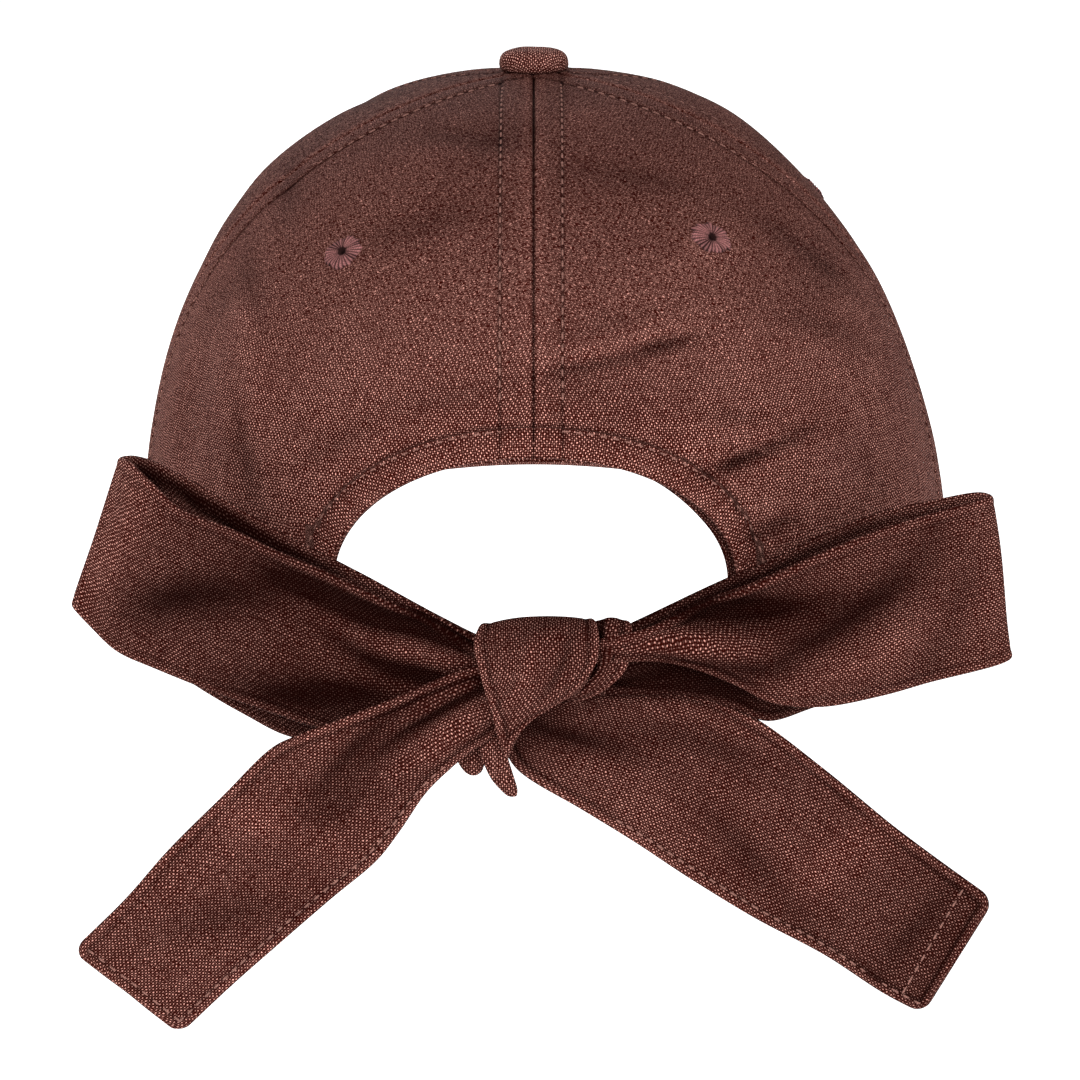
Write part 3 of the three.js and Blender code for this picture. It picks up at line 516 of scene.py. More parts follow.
class Crown:
    """The crown's outer surface, from its settings"""

    def __init__(self, sizes):
        self.sizes = sizes
        rng = np.random.default_rng(11)
        self.marks = [(mark, False) for mark in DENTS] + [(mark, True) for mark in CREASES]
        for _ in range(70):
            turn, rise = rng.uniform(-180, 180), rng.uniform(8, 74)
            long, wide = rng.uniform(8, 18), rng.uniform(3, 7)
            turned, depth = rng.uniform(-50, 50), rng.uniform(-0.3, 0.26)
            self.marks.append(((turn, rise, long, wide, turned, depth), True))
        self.frames = [self.mark_frame(mark) for mark, _ in self.marks]

    def rim_radius(self, turn):
        side = np.sin(np.radians(turn))
        half = np.where(side > 0, self.sizes.half_width_left, self.sizes.half_width_right)
        return 1 / np.hypot(side / half, np.cos(np.radians(turn)) / self.sizes.half_length)

    def rim_height(self, turn):
        return self.sizes.front_rise * smooth((np.abs(turn) - 95) / 85)

    def top_fall(self, y, part):
        return y * math.tan(math.radians(self.sizes.top_slope)) * part**2

    def reach(self, rise):
        """The share of the rim's radius at this rise"""
        return np.maximum(np.cos(np.radians(rise)), 0) ** (2 / self.sizes.squareness)

    def plain(self, turn, rise):
        """Points of the crown without its dents and creases"""
        turn, rise = np.broadcast_arrays(np.asarray(turn, float), np.asarray(rise, float))
        out = self.rim_radius(turn) * self.reach(rise)
        part = np.maximum(np.sin(np.radians(rise)), 0) ** (2 / self.sizes.squareness)
        y = out * np.cos(np.radians(turn))
        z = mix(self.rim_height(turn), self.sizes.height, part) + self.top_fall(y, part)
        return np.stack([out * np.sin(np.radians(turn)), y + self.sizes.top_back * part**2, z], -1)

    def normal(self, turn, rise):
        step = 0.2
        lift = np.clip(rise, step, 90 - 5 * step)
        across = self.plain(turn + step, lift) - self.plain(turn - step, lift)
        along = self.plain(turn, lift + step) - self.plain(turn, lift - step)
        return unit(np.cross(along, across))

    def mark_frame(self, mark):
        """The middle of a dent or crease, and its directions along and across"""
        turn, rise, _, _, turned, _ = mark
        level = np.array([math.cos(math.radians(turn)), -math.sin(math.radians(turn)), 0])
        upward = np.cross(level, self.normal(turn, rise))
        s, c = math.sin(math.radians(turned)), math.cos(math.radians(turned))
        return self.plain(turn, rise), level * c + upward * s, upward * c - level * s

    def relief(self, place, fine):
        """How far the dents, and the creases where fine, lift the surface"""
        total = np.zeros(place.shape[:-1])
        for (mark, sharp), (middle, run, across) in zip(self.marks, self.frames):
            if sharp and not fine:
                continue
            away = place - middle
            total += mark[5] * bell(away @ run / mark[2]) * bell(away @ across / mark[3])
        return total

    def point(self, turn, rise, depth=0.0, fine=True):
        """Points of the crown's outside, or this far under it"""
        place = self.plain(turn, rise)
        lift = self.relief(place, fine) - depth
        return place + self.normal(turn, rise) * np.asarray(lift)[..., None]

    def on_back(self, x, z):
        """The turn and rise of the places on the crown's back at these x and z"""
        sizes = self.sizes
        x, z = np.broadcast_arrays(np.asarray(x, float), np.asarray(z, float))
        turn = np.zeros(x.shape)
        rise = turn
        for _ in range(12):
            y = self.rim_radius(turn) * np.cos(np.radians(turn))
            part = np.clip((z - self.top_fall(y, z / sizes.height)) / sizes.height, 0, 1)
            rise = np.degrees(np.arcsin(part ** (sizes.squareness / 2)))
            out = self.rim_radius(turn) * self.reach(rise)
            turn = np.degrees(np.arcsin(np.clip(x / out, -1, 1)))
        return turn, rise

    def arch_edge(self, t, outside, side):
        """The arch's edge, this far outside it: t is 0 at its top, and 1 at the rim"""
        sizes = self.sizes
        t = np.asarray(t, float)
        turn = np.radians(np.minimum(1, t / sizes.arch_curved) * 90)
        x = (sizes.arch_half_width + outside) * np.sin(turn)
        rise = sizes.arch_height - sizes.arch_side + outside
        down = np.maximum(0, (t - sizes.arch_curved) / (1 - sizes.arch_curved))
        z = (sizes.arch_side + rise * np.cos(turn)) * (1 - down)
        return self.on_back(side * (x + sizes.arch_flare * down), z)

    def seam_turn(self, seam, rise):
        return through(seam["turns"], np.asarray(rise, float) / STEP_UP)

    def arch_line(self, side):
        return self.point(*self.arch_edge(steps_between(0, 1, 90), 0.0, side))


# Colours and bumps of a material, written as sums


class Amount:
    """A number that changes over a surface. Sums on it add Math nodes."""

    def __init__(self, shader, socket):
        self.shader = shader
        self.socket = socket

    def sum(self, operation, *others):
        values = {k: getattr(v, "socket", v) for k, v in enumerate((self, *others))}
        node = self.shader.add("ShaderNodeMath", {"operation": operation}, values)
        return Amount(self.shader, node.outputs[0])

    def swapped(self, operation, other):
        node = self.shader.add("ShaderNodeMath", {"operation": operation}, {0: other, 1: self.socket})
        return Amount(self.shader, node.outputs[0])

    def __add__(self, other):
        return self.sum("ADD", other)

    __radd__ = __add__

    def __sub__(self, other):
        return self.sum("SUBTRACT", other)

    def __rsub__(self, other):
        return self.swapped("SUBTRACT", other)

    def __mul__(self, other):
        return self.sum("MULTIPLY", other)

    __rmul__ = __mul__

    def __truediv__(self, other):
        return self.sum("DIVIDE", other)

    def __abs__(self):
        return self.sum("ABSOLUTE")

    def __gt__(self, other):
        return self.sum("GREATER_THAN", other)

    def sine(self):
        return self.sum("SINE")

    def held(self):
        """The number, held between 0 and 1"""
        return self.sum("MINIMUM", 1.0).sum("MAXIMUM", 0.0)


class Shader:
    """The nodes of one material"""

    def __init__(self, name):
        self.material = bpy.data.materials.new(name)
        self.material.use_nodes = True
        self.nodes = self.material.node_tree.nodes
        self.links = self.material.node_tree.links
        self.nodes.clear()

    def add(self, kind, settings=None, sockets=None):
        """A node with its settings, and then the values or links of its sockets"""
        node = self.nodes.new(kind)
        for name, value in (settings or {}).items():
            setattr(node, name, value)
        for name, value in (sockets or {}).items():
            value = getattr(value, "socket", value)
            if isinstance(value, bpy.types.NodeSocket):
                self.links.new(value, node.inputs[name])
            else:
                node.inputs[name].default_value = value
        return node

    def amount(self, node, name):
        return Amount(self, node.outputs[name])

    def noise(self, place, scale, detail=2.0):
        node = self.add("ShaderNodeTexNoise", {}, {"Vector": place, "Scale": scale, "Detail": detail})
        return self.amount(node, "Fac")

    def joined(self, x, y, z):
        node = self.add("ShaderNodeCombineXYZ", {}, {"X": x, "Y": y, "Z": z})
        return node.outputs["Vector"]

    def blend(self, factor, first, second):
        """The colour between two colours"""
        inputs = {"Factor": factor, 6: first, 7: second}
        return self.add("ShaderNodeMix", {"data_type": "RGBA"}, inputs).outputs[2]

    def finish(self, sockets, height, distance, strength):
        """The surface, bumped by a height in millimetres"""
        values = {"Height": height, "Distance": distance, "Strength": strength}
        bump = self.add("ShaderNodeBump", {}, values)
        surface = self.add("ShaderNodeBsdfPrincipled", {}, {**sockets, "Normal": bump.outputs[0]})
        self.add("ShaderNodeOutputMaterial", {}, {"Surface": surface.outputs[0]})
        return self.material


def colour(rgb, gain=1.0):
    """An opaque colour, made lighter or darker by the gain"""
    return (*[min(1.0, part * gain) for part in rgb], 1.0)


def linen(cloth):
    """Plain-woven linen. The attribute weave holds the cloth's own place in mm, across, along and a
    number for the piece, and tone is above 0 where edges are rubbed and where painted highlight lies
    on ridges and swells, and below 0 for painted shade.
    High on the crown the yarns are looser and show as a fine mottle."""
    shader = Shader("linen")
    weave = shader.add("ShaderNodeAttribute", {"attribute_name": "weave"})
    tone = shader.add("ShaderNodeAttribute", {"attribute_name": "tone"})
    parts = shader.add("ShaderNodeSeparateXYZ", {}, {"Vector": weave.outputs["Vector"]})
    u, v, piece = (shader.amount(parts, name) for name in "XYZ")
    drift = shader.noise(weave.outputs["Vector"], 0.09, 2.0) - 0.5
    drift_up = shader.noise(shader.joined(v, u, piece + 5.0), 0.09, 2.0) - 0.5
    jog = shader.noise(weave.outputs["Vector"], 0.9, 1.0) - 0.5
    jog_up = shader.noise(shader.joined(v, u, piece + 5.0), 0.9, 1.0) - 0.5
    on_crown = 1.0 - (piece > LAST_PANEL_CLOTH)
    upper_from, upper_over = 46.0, 30.0
    upper = ((v - upper_from) / upper_over).held() * on_crown
    loose = upper * 0.7 + 0.65
    across = (u + drift * 1.6 + jog * loose) / cloth.yarn
    along = (v + drift_up * 1.6 + jog_up * loose) / cloth.yarn
    warp_sine = (across * math.pi).sine()
    weft_sine = (along * math.pi).sine()
    warp, weft = abs(warp_sine), abs(weft_sine)
    slub_warp = shader.noise(shader.joined(across, along * 0.06, piece), 0.9, 1.0)
    slub_weft = shader.noise(shader.joined(across * 0.06, along, piece + 9.0), 0.9, 1.0)
    over = (warp_sine * weft_sine) > 0.0
    warp_top = warp * (weft * 0.5 + 0.5)
    weft_top = weft * (warp * 0.5 + 0.5)
    height = warp_top * over + weft_top * (1.0 - over)
    # The yarns' tops take the light linen, partly as a painted highlight standing in for their sheen, and
    # the gaps between yarns the dark linen, partly as painted shade
    bright = warp_top * warp_top
    bead = bright * bright * bright * over * (slub_warp * 4.0 - 0.4)
    bar = weft_top * weft_top * weft_top * (1.0 - over) * (slub_weft * 2.4 - 0.6).held()
    fleck = shader.noise(shader.joined(across, along, piece), 0.6, 1.0)
    patch = shader.noise(weave.outputs["Vector"], 0.05, 3.0)
    change = shader.amount(tone, "Fac")
    # Tone above 0 lightens the yarns: rubbed edges, and painted highlight on ridges, swells and the
    # button's shoulder
    rubbed_and_lit = change.sum("MAXIMUM", 0.0) + 1.0
    lit = (bead + bar * 0.25) * (fleck * 2.2 - 0.1) * (patch + 0.5) * rubbed_and_lit
    grain = shader.noise(shader.joined(across * 0.5, along * 1.1, piece), 1.1, 1.0)
    mottled = ((grain - 0.5) * 1.2 + 0.1).held()
    lit = lit.held() * (1.0 - upper * 0.55) + mottled * (upper * 0.55)
    cloth_colour = shader.blend(lit, colour(cloth.dark), colour(cloth.light))
    # Tone below 0 blends the linen towards a near-black, as painted shade
    body = shader.blend((change + 1.0).held(), colour(cloth.dark, 0.15), cloth_colour)
    roughness = (0.85 - height * 0.2).held()
    sockets = {
        "Base Color": body,
        "Roughness": roughness,
        "Specular IOR Level": 0.02,
        "Specular Tint": (1.0, 0.5, 0.42, 1.0),
    }
    return shader.finish(sockets, height, 0.2 * MM, 0.9)


def twisted_thread(name, rgb, gain):
    """Sewing thread with its twist, darker where tone is below 0"""
    shader = Shader(name)
    place = shader.add("ShaderNodeAttribute", {"attribute_name": "weave"})
    tone = shader.add("ShaderNodeAttribute", {"attribute_name": "tone"})
    parts = shader.add("ShaderNodeSeparateXYZ", {}, {"Vector": place.outputs["Vector"]})
    twist = abs(((shader.amount(parts, "X") + shader.amount(parts, "Y")) * (math.pi / 0.42)).sine())
    speck = shader.noise(place.outputs["Vector"], 1.6, 2.0)
    lit = (twist * 0.4 + speck * 0.8 - 0.1) * (shader.amount(tone, "Fac") + 1.0)
    body = shader.blend(lit.held(), colour(rgb, 0.12 * gain), colour(rgb, 1.7 * gain))
    sockets = {"Base Color": body, "Roughness": 0.7, "Specular IOR Level": 0.03}
    return shader.finish(sockets, twist, 0.08 * MM, 0.7)


def pale_floor(rgb):
    """A pale floor with a faint mottle"""
    shader = Shader("pale_floor")
    place = shader.add("ShaderNodeNewGeometry")
    mottle = shader.noise(place.outputs["Position"], 3.0)
    body = shader.blend(mottle, colour(rgb, 0.985), colour(rgb, 1.015))
    sockets = {
        "Base Color": body,
        "Roughness": 0.9,
        "Emission Color": (1.0, 1.0, 1.0, 1.0),
        "Emission Strength": 0.6,
    }
    return shader.finish(sockets, mottle, 0.1 * MM, 0.2)


def material(name, context):
    """The cap's material of this name, made when it is first asked for"""
    found = bpy.data.materials.get(name)
    if found:
        return found
    cloth = context.scene.cap_cloth
    if name == "linen":
        return linen(cloth)
    if name == "linen_thread":
        return twisted_thread(name, cloth.light, 0.23)
    return twisted_thread(name, cloth.thread, 1.0)


# Meshes


def as_object(name, points, faces, paint, weave, tone):
    """A shaded mesh object, in metres, with its faces turned outwards"""
    points = np.asarray(points, float)
    faces = np.asarray(faces, int)
    a, b, c = (points[faces[:, k]] for k in range(3))
    volume = (a * np.cross(b, c)).sum()
    if faces.shape[1] == 4:
        volume += (a * np.cross(c, points[faces[:, 3]])).sum()
    if volume < 0:
        faces = faces[:, ::-1]
    mesh = bpy.data.meshes.new(name)
    mesh.from_pydata((points * MM).tolist(), [], faces.tolist())
    for label, values, kind in (("weave", weave, "FLOAT_VECTOR"), ("tone", tone, "FLOAT")):
        layer = mesh.attributes.new(label, kind, "POINT")
        layer.data.foreach_set("vector" if kind == "FLOAT_VECTOR" else "value", np.ravel(values))
    mesh.polygons.foreach_set("use_smooth", [True] * len(mesh.polygons))
    mesh.materials.append(paint)
    obj = bpy.data.objects.new(name, mesh)
    bpy.context.scene.collection.objects.link(obj)
    return obj


def grid_faces(rows, columns, start, wrap=False):
    """The four-cornered faces of a grid of points numbered row by row from start"""
    i, j = np.meshgrid(np.arange(rows - 1), np.arange(columns if wrap else columns - 1), indexing="ij")
    k = (j + 1) % columns
    corners = [i * columns + j, (i + 1) * columns + j, (i + 1) * columns + k, i * columns + k]
    return np.stack([c.ravel() + start for c in corners], -1)


def cloth_places(across, along, piece):
    """Values of the attribute weave: places in the cloth, in mm, and the number of the piece"""
    return np.stack(np.broadcast_arrays(across, along, float(piece)), -1)


def skin(name, outer, inner, paint, weave, tone):
    """The closed skin between two grids of points"""
    rows, columns = outer.shape[:2]
    half = rows * columns
    front = grid_faces(rows, columns, 0)
    back = grid_faces(rows, columns, half)[:, ::-1]
    index = np.arange(half).reshape(rows, columns)
    rim = np.concatenate([index[:-1, 0], index[-1, :-1], index[:0:-1, -1], index[0, :0:-1]])
    after = np.roll(rim, -1)
    edge = np.stack([after, rim, rim + half, after + half], -1)
    points = np.concatenate([outer.reshape(-1, 3), inner.reshape(-1, 3)])
    places = np.concatenate([weave.reshape(-1, 3), weave.reshape(-1, 3) + (1.3, 1.3, 0)])
    tones = np.concatenate([tone.ravel(), tone.ravel()])
    return as_object(name, points, np.concatenate([front, back, edge]), paint, places, tones)


def loft(name, rings, paint, weave, tone):
    """A closed body through rings of points, with a middle point at each end"""
    rows, columns = rings.shape[:2]
    body = grid_faces(rows, columns, 0, wrap=True)
    ends = np.stack([rings[0].mean(0), rings[-1].mean(0)])
    points = np.concatenate([rings.reshape(-1, 3), ends])
    first, last = rows * columns, rows * columns + 1
    here = np.arange(columns)
    there = (here + 1) % columns
    base = (rows - 1) * columns
    at_first, at_last = np.full(columns, first), np.full(columns, last)
    start = np.stack([here, there, at_first, at_first], -1)
    end = np.stack([there + base, here + base, at_last, at_last], -1)
    faces = np.concatenate([body, start, end])
    places = np.concatenate([weave.reshape(-1, 3), weave[0].mean(0)[None], weave[-1].mean(0)[None]])
    tones = np.concatenate([tone.ravel(), tone[:1, 0], tone[-1:, 0]])
    obj = as_object(name, points, faces, paint, places, tones)
    tidy = bmesh.new()
    tidy.from_mesh(obj.data)
    bmesh.ops.dissolve_degenerate(tidy, edges=tidy.edges, dist=1e-7)
    bmesh.ops.recalc_face_normals(tidy, faces=tidy.faces)
    tidy.to_mesh(obj.data)
    tidy.free()
    return obj


def settle(obj, slot, *nodes):
    """The piece rides on the cap and stands for its nodes. The slot is not used."""
    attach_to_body(obj, "root")
    if nodes:
        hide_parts(*nodes)
    return obj


def declare_cloth(outer):
    """Measures the flat size and the area of a sheet of cloth from its own surface, and keeps neither"""
    across = length(np.diff(outer, axis=1))[..., 0].sum(1).max()
    along = length(np.diff(outer, axis=0))[..., 0].sum(0).max()
    first = np.cross(outer[1:, :-1] - outer[:-1, :-1], outer[:-1, 1:] - outer[:-1, :-1])
    second = np.cross(outer[1:, :-1] - outer[1:, 1:], outer[:-1, 1:] - outer[1:, 1:])
    area = (length(first).sum() + length(second).sum()) / 2
    area = min(area, across * along)
    flat = (across * MM, along * MM)
    area * MM * MM


# The crown's panels


def fine_edge(widest):
    """Distances from an edge, in mm: close together at the fold and at the stitches"""
    folded = [0, 0.25, 0.55, 0.9, 1.4, 2.2, 3.4, 4.6]
    stitched = [5.3, 5.7, 6.0, 6.3, 6.7, 7.1, 7.6, 8.2, 9.0]
    near = np.array(folded + stitched)
    return near[near <= widest]


def seam_relief(away, stitch_at):
    """How the doubled cloth beside a seam stands out, and dips at the seam and at its stitches"""
    fold = -0.7 * bell(away / 0.26)
    doubled = 0.32 * (1 - smooth((away - stitch_at + 0.5) / 1.3)) * smooth(away / 1.2)
    stitches = -0.26 * bell((away - stitch_at) / 0.5)
    return fold + doubled + stitches


def hem_relief(away, width):
    """How a turned hem stands out, rounds off at its fold and dips at its stitches"""
    fold = -0.8 * (1 - np.sqrt(np.clip(1 - np.clip(1 - away / 1.1, 0, 1) ** 2, 0, 1)))
    doubled = 0.55 * (1 - smooth((away - width + 0.3) / 1.0))
    stitches = -0.3 * bell((away - width + 0.9) / 0.5)
    return fold + doubled + stitches


def panel_places(crown, near, far, arched, columns_between, rows_between):
    """The turn and rise of a panel's grid. Columns fan out from the rim, or from the arch."""
    sizes = crown.sizes
    edge = fine_edge(9.0)
    count = len(edge)
    between = steps_between(0, 1, columns_between + 2)[1:-1]
    rim_width = math.radians(far["turns"][0] - near["turns"][0]) * sizes.half_length
    start_rise = np.zeros(2 * count + columns_between)
    on_rim = np.concatenate([edge, mix(edge[-1], rim_width - edge[-1], between), rim_width - edge[::-1]])
    start_turn = mix(near["turns"][0], far["turns"][0], on_rim / rim_width)
    if arched:
        arch_share = 0.58
        corner_turn, _ = crown.arch_edge(1.0, 0.0, 1)
        first = np.degrees(np.arcsin(edge / sizes.arch_half_width)) / 90 * sizes.arch_curved
        rest = between[between <= arch_share]
        t = np.concatenate([first, mix(first[-1], 1, rest / rest[-1])])
        arch_turn, arch_rise = crown.arch_edge(t, 0.0, 1)
        last_turn = start_turn[count + columns_between]
        beyond = (between[between > arch_share] - rest[-1]) / (1 - rest[-1])
        rim_turn = mix(corner_turn, last_turn, beyond)
        start_turn = np.concatenate([arch_turn, rim_turn, start_turn[-count:]])
        start_rise = np.concatenate([arch_rise, np.zeros(len(rim_turn) + count)])
    top = math.degrees(math.acos((sizes.top_hole / sizes.half_length) ** (sizes.squareness / 2)))
    meridian = 120.0
    fine = edge / meridian
    v = np.concatenate([fine, steps_between(fine[-1], 1, rows_between + 1)[1:]])[:, None]
    rise = mix(start_rise[None], top, v)
    low, high = crown.seam_turn(near, rise), crown.seam_turn(far, rise)
    around = np.radians(1) * crown.rim_radius(mix(low, high, 0.5)) * crown.reach(rise)
    lap = 0.12 / around
    low, high = low - lap, high + lap
    width = (high - low) * around
    pinch = np.minimum(1, width / (2.6 * edge[-1]))
    start_low = crown.seam_turn(near, start_rise)
    start_high = crown.seam_turn(far, start_rise)
    start_share = np.clip((start_turn - start_low) / (start_high - start_low), 0, 1)[None]
    start_share = np.broadcast_to(start_share, rise.shape)
    end_share = np.empty(rise.shape)
    end_share[:, :count] = edge * pinch[:, :count] / width[:, :count]
    end_share[:, -count:] = 1 - edge[::-1] * pinch[:, -count:] / width[:, -count:]
    inner = slice(count, count + columns_between)
    border = edge[-1] * pinch[:, inner] / width[:, inner]
    first, last = start_share[:1, count - 1, None], start_share[:1, -count, None]
    spread = mix((start_share[:, inner] - first) / (last - first), between[None], smooth(v))
    end_share[:, inner] = mix(border, 1 - border, spread)
    return mix(low, high, end_share), rise


def seam_line(crown, seam, side, rise_from, aside=0.0, depth=0.0):
    """A seam's line from a rise up to the button, or the line this many mm beside it"""
    under_button = 87.0
    rise = steps_between(rise_from, under_button, 80)
    turn = crown.seam_turn(seam, rise)
    turn = turn + np.degrees(aside / (crown.rim_radius(turn) * crown.reach(rise)))
    return crown.point(side * turn, rise, depth), side * turn, rise


def lowest_rise(crown, seam):
    """Where a seam starts: the back one at the arch's top, and the others at the rim"""
    return float(crown.arch_edge(0.0, 0.0, 1)[1]) if seam["name"] == "back" else 0.0


def stitch_distance(crown, side, outward):
    """How far from a seam its stitches lie, on the side that is outward (1) or inward (-1) of it"""
    left = side * outward > 0
    return crown.sizes.stitch_left if left else crown.sizes.stitch_right


class CAP_OT_panels(bpy.types.Operator):
    """Make the crown's six panels, with their seams, hems and eyelet holes"""

    bl_idname = "cap.panels"
    bl_label = "Panels"

    def execute(self, context):
        crown = Crown(context.scene.cap_crown)
        for side_name, side in SIDES:
            for k, eyelet in enumerate(EYELETS):
                self.panel(context, crown, k, side_name, side, eyelet)
        return {"FINISHED"}

    def panel(self, context, crown, k, side_name, side, eyelet):
        """The panel between two seams, on one side"""
        near, far = SEAMS[k], SEAMS[k + 1]
        arched = k == 0
        between = (84, 90) if arched else (44, 56)
        turn, rise = panel_places(crown, near, far, arched, *between)
        flat = crown.point(side * turn, rise)
        relief = np.zeros(turn.shape)
        # Painted shade in the crown's creases and dents and painted highlight on their ridges, then the
        # crown's painted shade by rise
        plain = crown.plain(side * turn, rise)
        creased = crown.relief(plain, True) - crown.relief(plain, False)
        tone = 0.7 * np.clip(creased, -1.2, 0.4)
        tone += 0.25 * through(CROWN_PAINTED_SHADE, rise / STEP_UP)
        for seam, outward in ((near, 1), (far, -1)):
            line, _, _ = seam_line(crown, seam, side, lowest_rise(crown, seam))
            away, _ = away_from(flat, line)
            stitch_at = stitch_distance(crown, side, outward)
            relief += seam_relief(away, stitch_at)
            # Lighter on the doubled cloth beside a seam, and painted shade in the seam's groove and along
            # its sunk stitches
            tone += 0.2 * bell((away - 1.4) / 0.9) - 0.8 * bell(away / 0.22)
            tone -= 0.55 * bell((away - stitch_at) / 0.4)
        rim_to_top, mm_per_radian = 150.0, 104.0
        rim_away = rise / 90 * rim_to_top
        across = self.across(crown, near, far, turn, rise)
        weave = cloth_places(across, np.radians(rise) * mm_per_radian, PANEL_CLOTH + 3 * k + side)
        hem, edge_away, hem_width = hem_relief(rim_away, RIM_HEM), rim_away, RIM_HEM
        if arched:
            away, run = away_from(flat, crown.arch_line(side))
            by_arch = away < 11
            hem_width = np.where(by_arch, crown.sizes.hem, RIM_HEM)
            edge_away = np.where(by_arch, away, rim_away)
            hem = hem_relief(edge_away, hem_width)
            on_hem = (away < crown.sizes.hem)[..., None]
            weave = np.where(on_hem, cloth_places(run, away, ARCH_HEM_CLOTH), weave)
        relief += hem
        # Lighter along the hem's rounded fold, and painted shade in its stitch groove and just past its
        # edge
        tone += 0.25 * bell((edge_away - 1.2) / 1.1) - 0.35 * bell((edge_away - hem_width + 0.9) / 0.5)
        tone -= 0.3 * bell((edge_away - hem_width - 0.4) / 0.45)
        normal = crown.normal(side * turn, rise)
        outer = flat + normal * relief[..., None]
        inner = flat - normal * crown.sizes.wall
        name = f"linen_panel_{eyelet['name']}_{side_name}"
        obj = skin(name, outer, inner, material("linen", context), weave, tone)
        self.drill(obj, crown, *eyelet[side_name])
        settle(obj, "cloth", f"panel_{eyelet['name']}_{side_name}")
        declare_cloth(outer)

    def across(self, crown, near, far, turn, rise):
        """How far across the cloth a place lies from its panel's middle line"""
        middle = (crown.seam_turn(near, rise) + crown.seam_turn(far, rise)) / 2
        return np.radians(turn - middle) * crown.rim_radius(turn) * crown.reach(rise)

    def drill(self, obj, crown, turn, rise):
        """Cuts an eyelet's hole"""
        reach = (crown.sizes.eyelet_hole + 0.15) * MM
        tool = bmesh.new()
        bmesh.ops.create_cone(
            tool, cap_ends=True, segments=24, radius1=reach, radius2=reach, depth=12 * MM
        )
        place = Vector(crown.point(turn, rise).tolist()) * MM
        turned = Vector(crown.normal(turn, rise).tolist()).to_track_quat("Z", "Y").to_matrix().to_4x4()
        tool.transform(Matrix.Translation(place) @ turned)
        mesh = bpy.data.meshes.new("eyelet_tool")
        tool.to_mesh(mesh)
        tool.free()
        bar = bpy.data.objects.new("eyelet_tool", mesh)
        bpy.context.scene.collection.objects.link(bar)
        cut = obj.modifiers.new("hole", "BOOLEAN")
        cut.object = bar
        cut.operation = "DIFFERENCE"
        cut.solver = "EXACT"
        bpy.context.view_layer.update()
        finished = obj.evaluated_get(bpy.context.evaluated_depsgraph_get())
        shaped = bpy.data.meshes.new_from_object(finished)
        obj.modifiers.clear()
        obj.data = shaped
        bpy.data.objects.remove(bar)


class CAP_OT_facing(bpy.types.Operator):
    """Make the band turned in along the arch"""

    bl_idname = "cap.facing"
    bl_label = "Arch facing"

    def execute(self, context):
        crown = Crown(context.scene.cap_crown)
        sizes = crown.sizes
        under = sizes.wall + 1.5 * GAP
        ends_short, set_back, half_run = 0.985, 0.6, 88.0
        t = steps_between(-1, 1, 181)
        middle_rows = steps_between(1.8, 10.6, 12)
        outside = np.concatenate([[0, 0.3, 0.7, 1.2], middle_rows, [11.2, 11.5, 11.8, 12]])
        turns, rises = [], []
        showing = 1.5 * smooth((-t - 0.2) / 0.3)  # how much further it reaches in, at the right
        for offset in set_back + outside * (sizes.facing_width - set_back) / sizes.facing_width:
            left = crown.arch_edge(np.abs(t) * ends_short, offset, 1)
            shown = offset - showing * (1 - offset / sizes.facing_width)
            right = crown.arch_edge(np.abs(t) * ends_short, shown, -1)
            turns.append(np.where(t < 0, right[0], left[0]))
            rises.append(np.where(t < 0, right[1], left[1]))
        turn, rise = np.stack(turns, 1), np.stack(rises, 1)
        flat = crown.point(turn, rise, 0.0, fine=False)
        normal = crown.normal(turn, rise)
        inwards = np.minimum(outside, sizes.facing_width - outside)[None]
        rounded = np.clip(1 - np.clip(1 - inwards / 0.6, 0, 1) ** 2, 0.02, 1)
        thin = sizes.facing_wall / 2 * np.sqrt(rounded)
        middle = under + sizes.facing_wall / 2 + 0.12 * bell((inwards - 2.2) / 0.5)
        outer = flat - normal * (middle - thin)[..., None]
        inner = flat - normal * (middle + thin)[..., None]
        weave = cloth_places(outside[None], (t * half_run)[:, None], FACING_CLOTH)
        # The band inside the arch is in painted shade, a little deeper along its line 2.2 mm in from its
        # edges
        tone = np.broadcast_to(-0.65 - 0.2 * bell((inwards - 2.2) / 0.5), turn.shape)
        obj = skin("linen_arch_facing", outer, inner, material("linen", context), weave, tone)
        settle(obj, "cloth", "arch_facing")
        declare_cloth(outer)
        return {"FINISHED"}


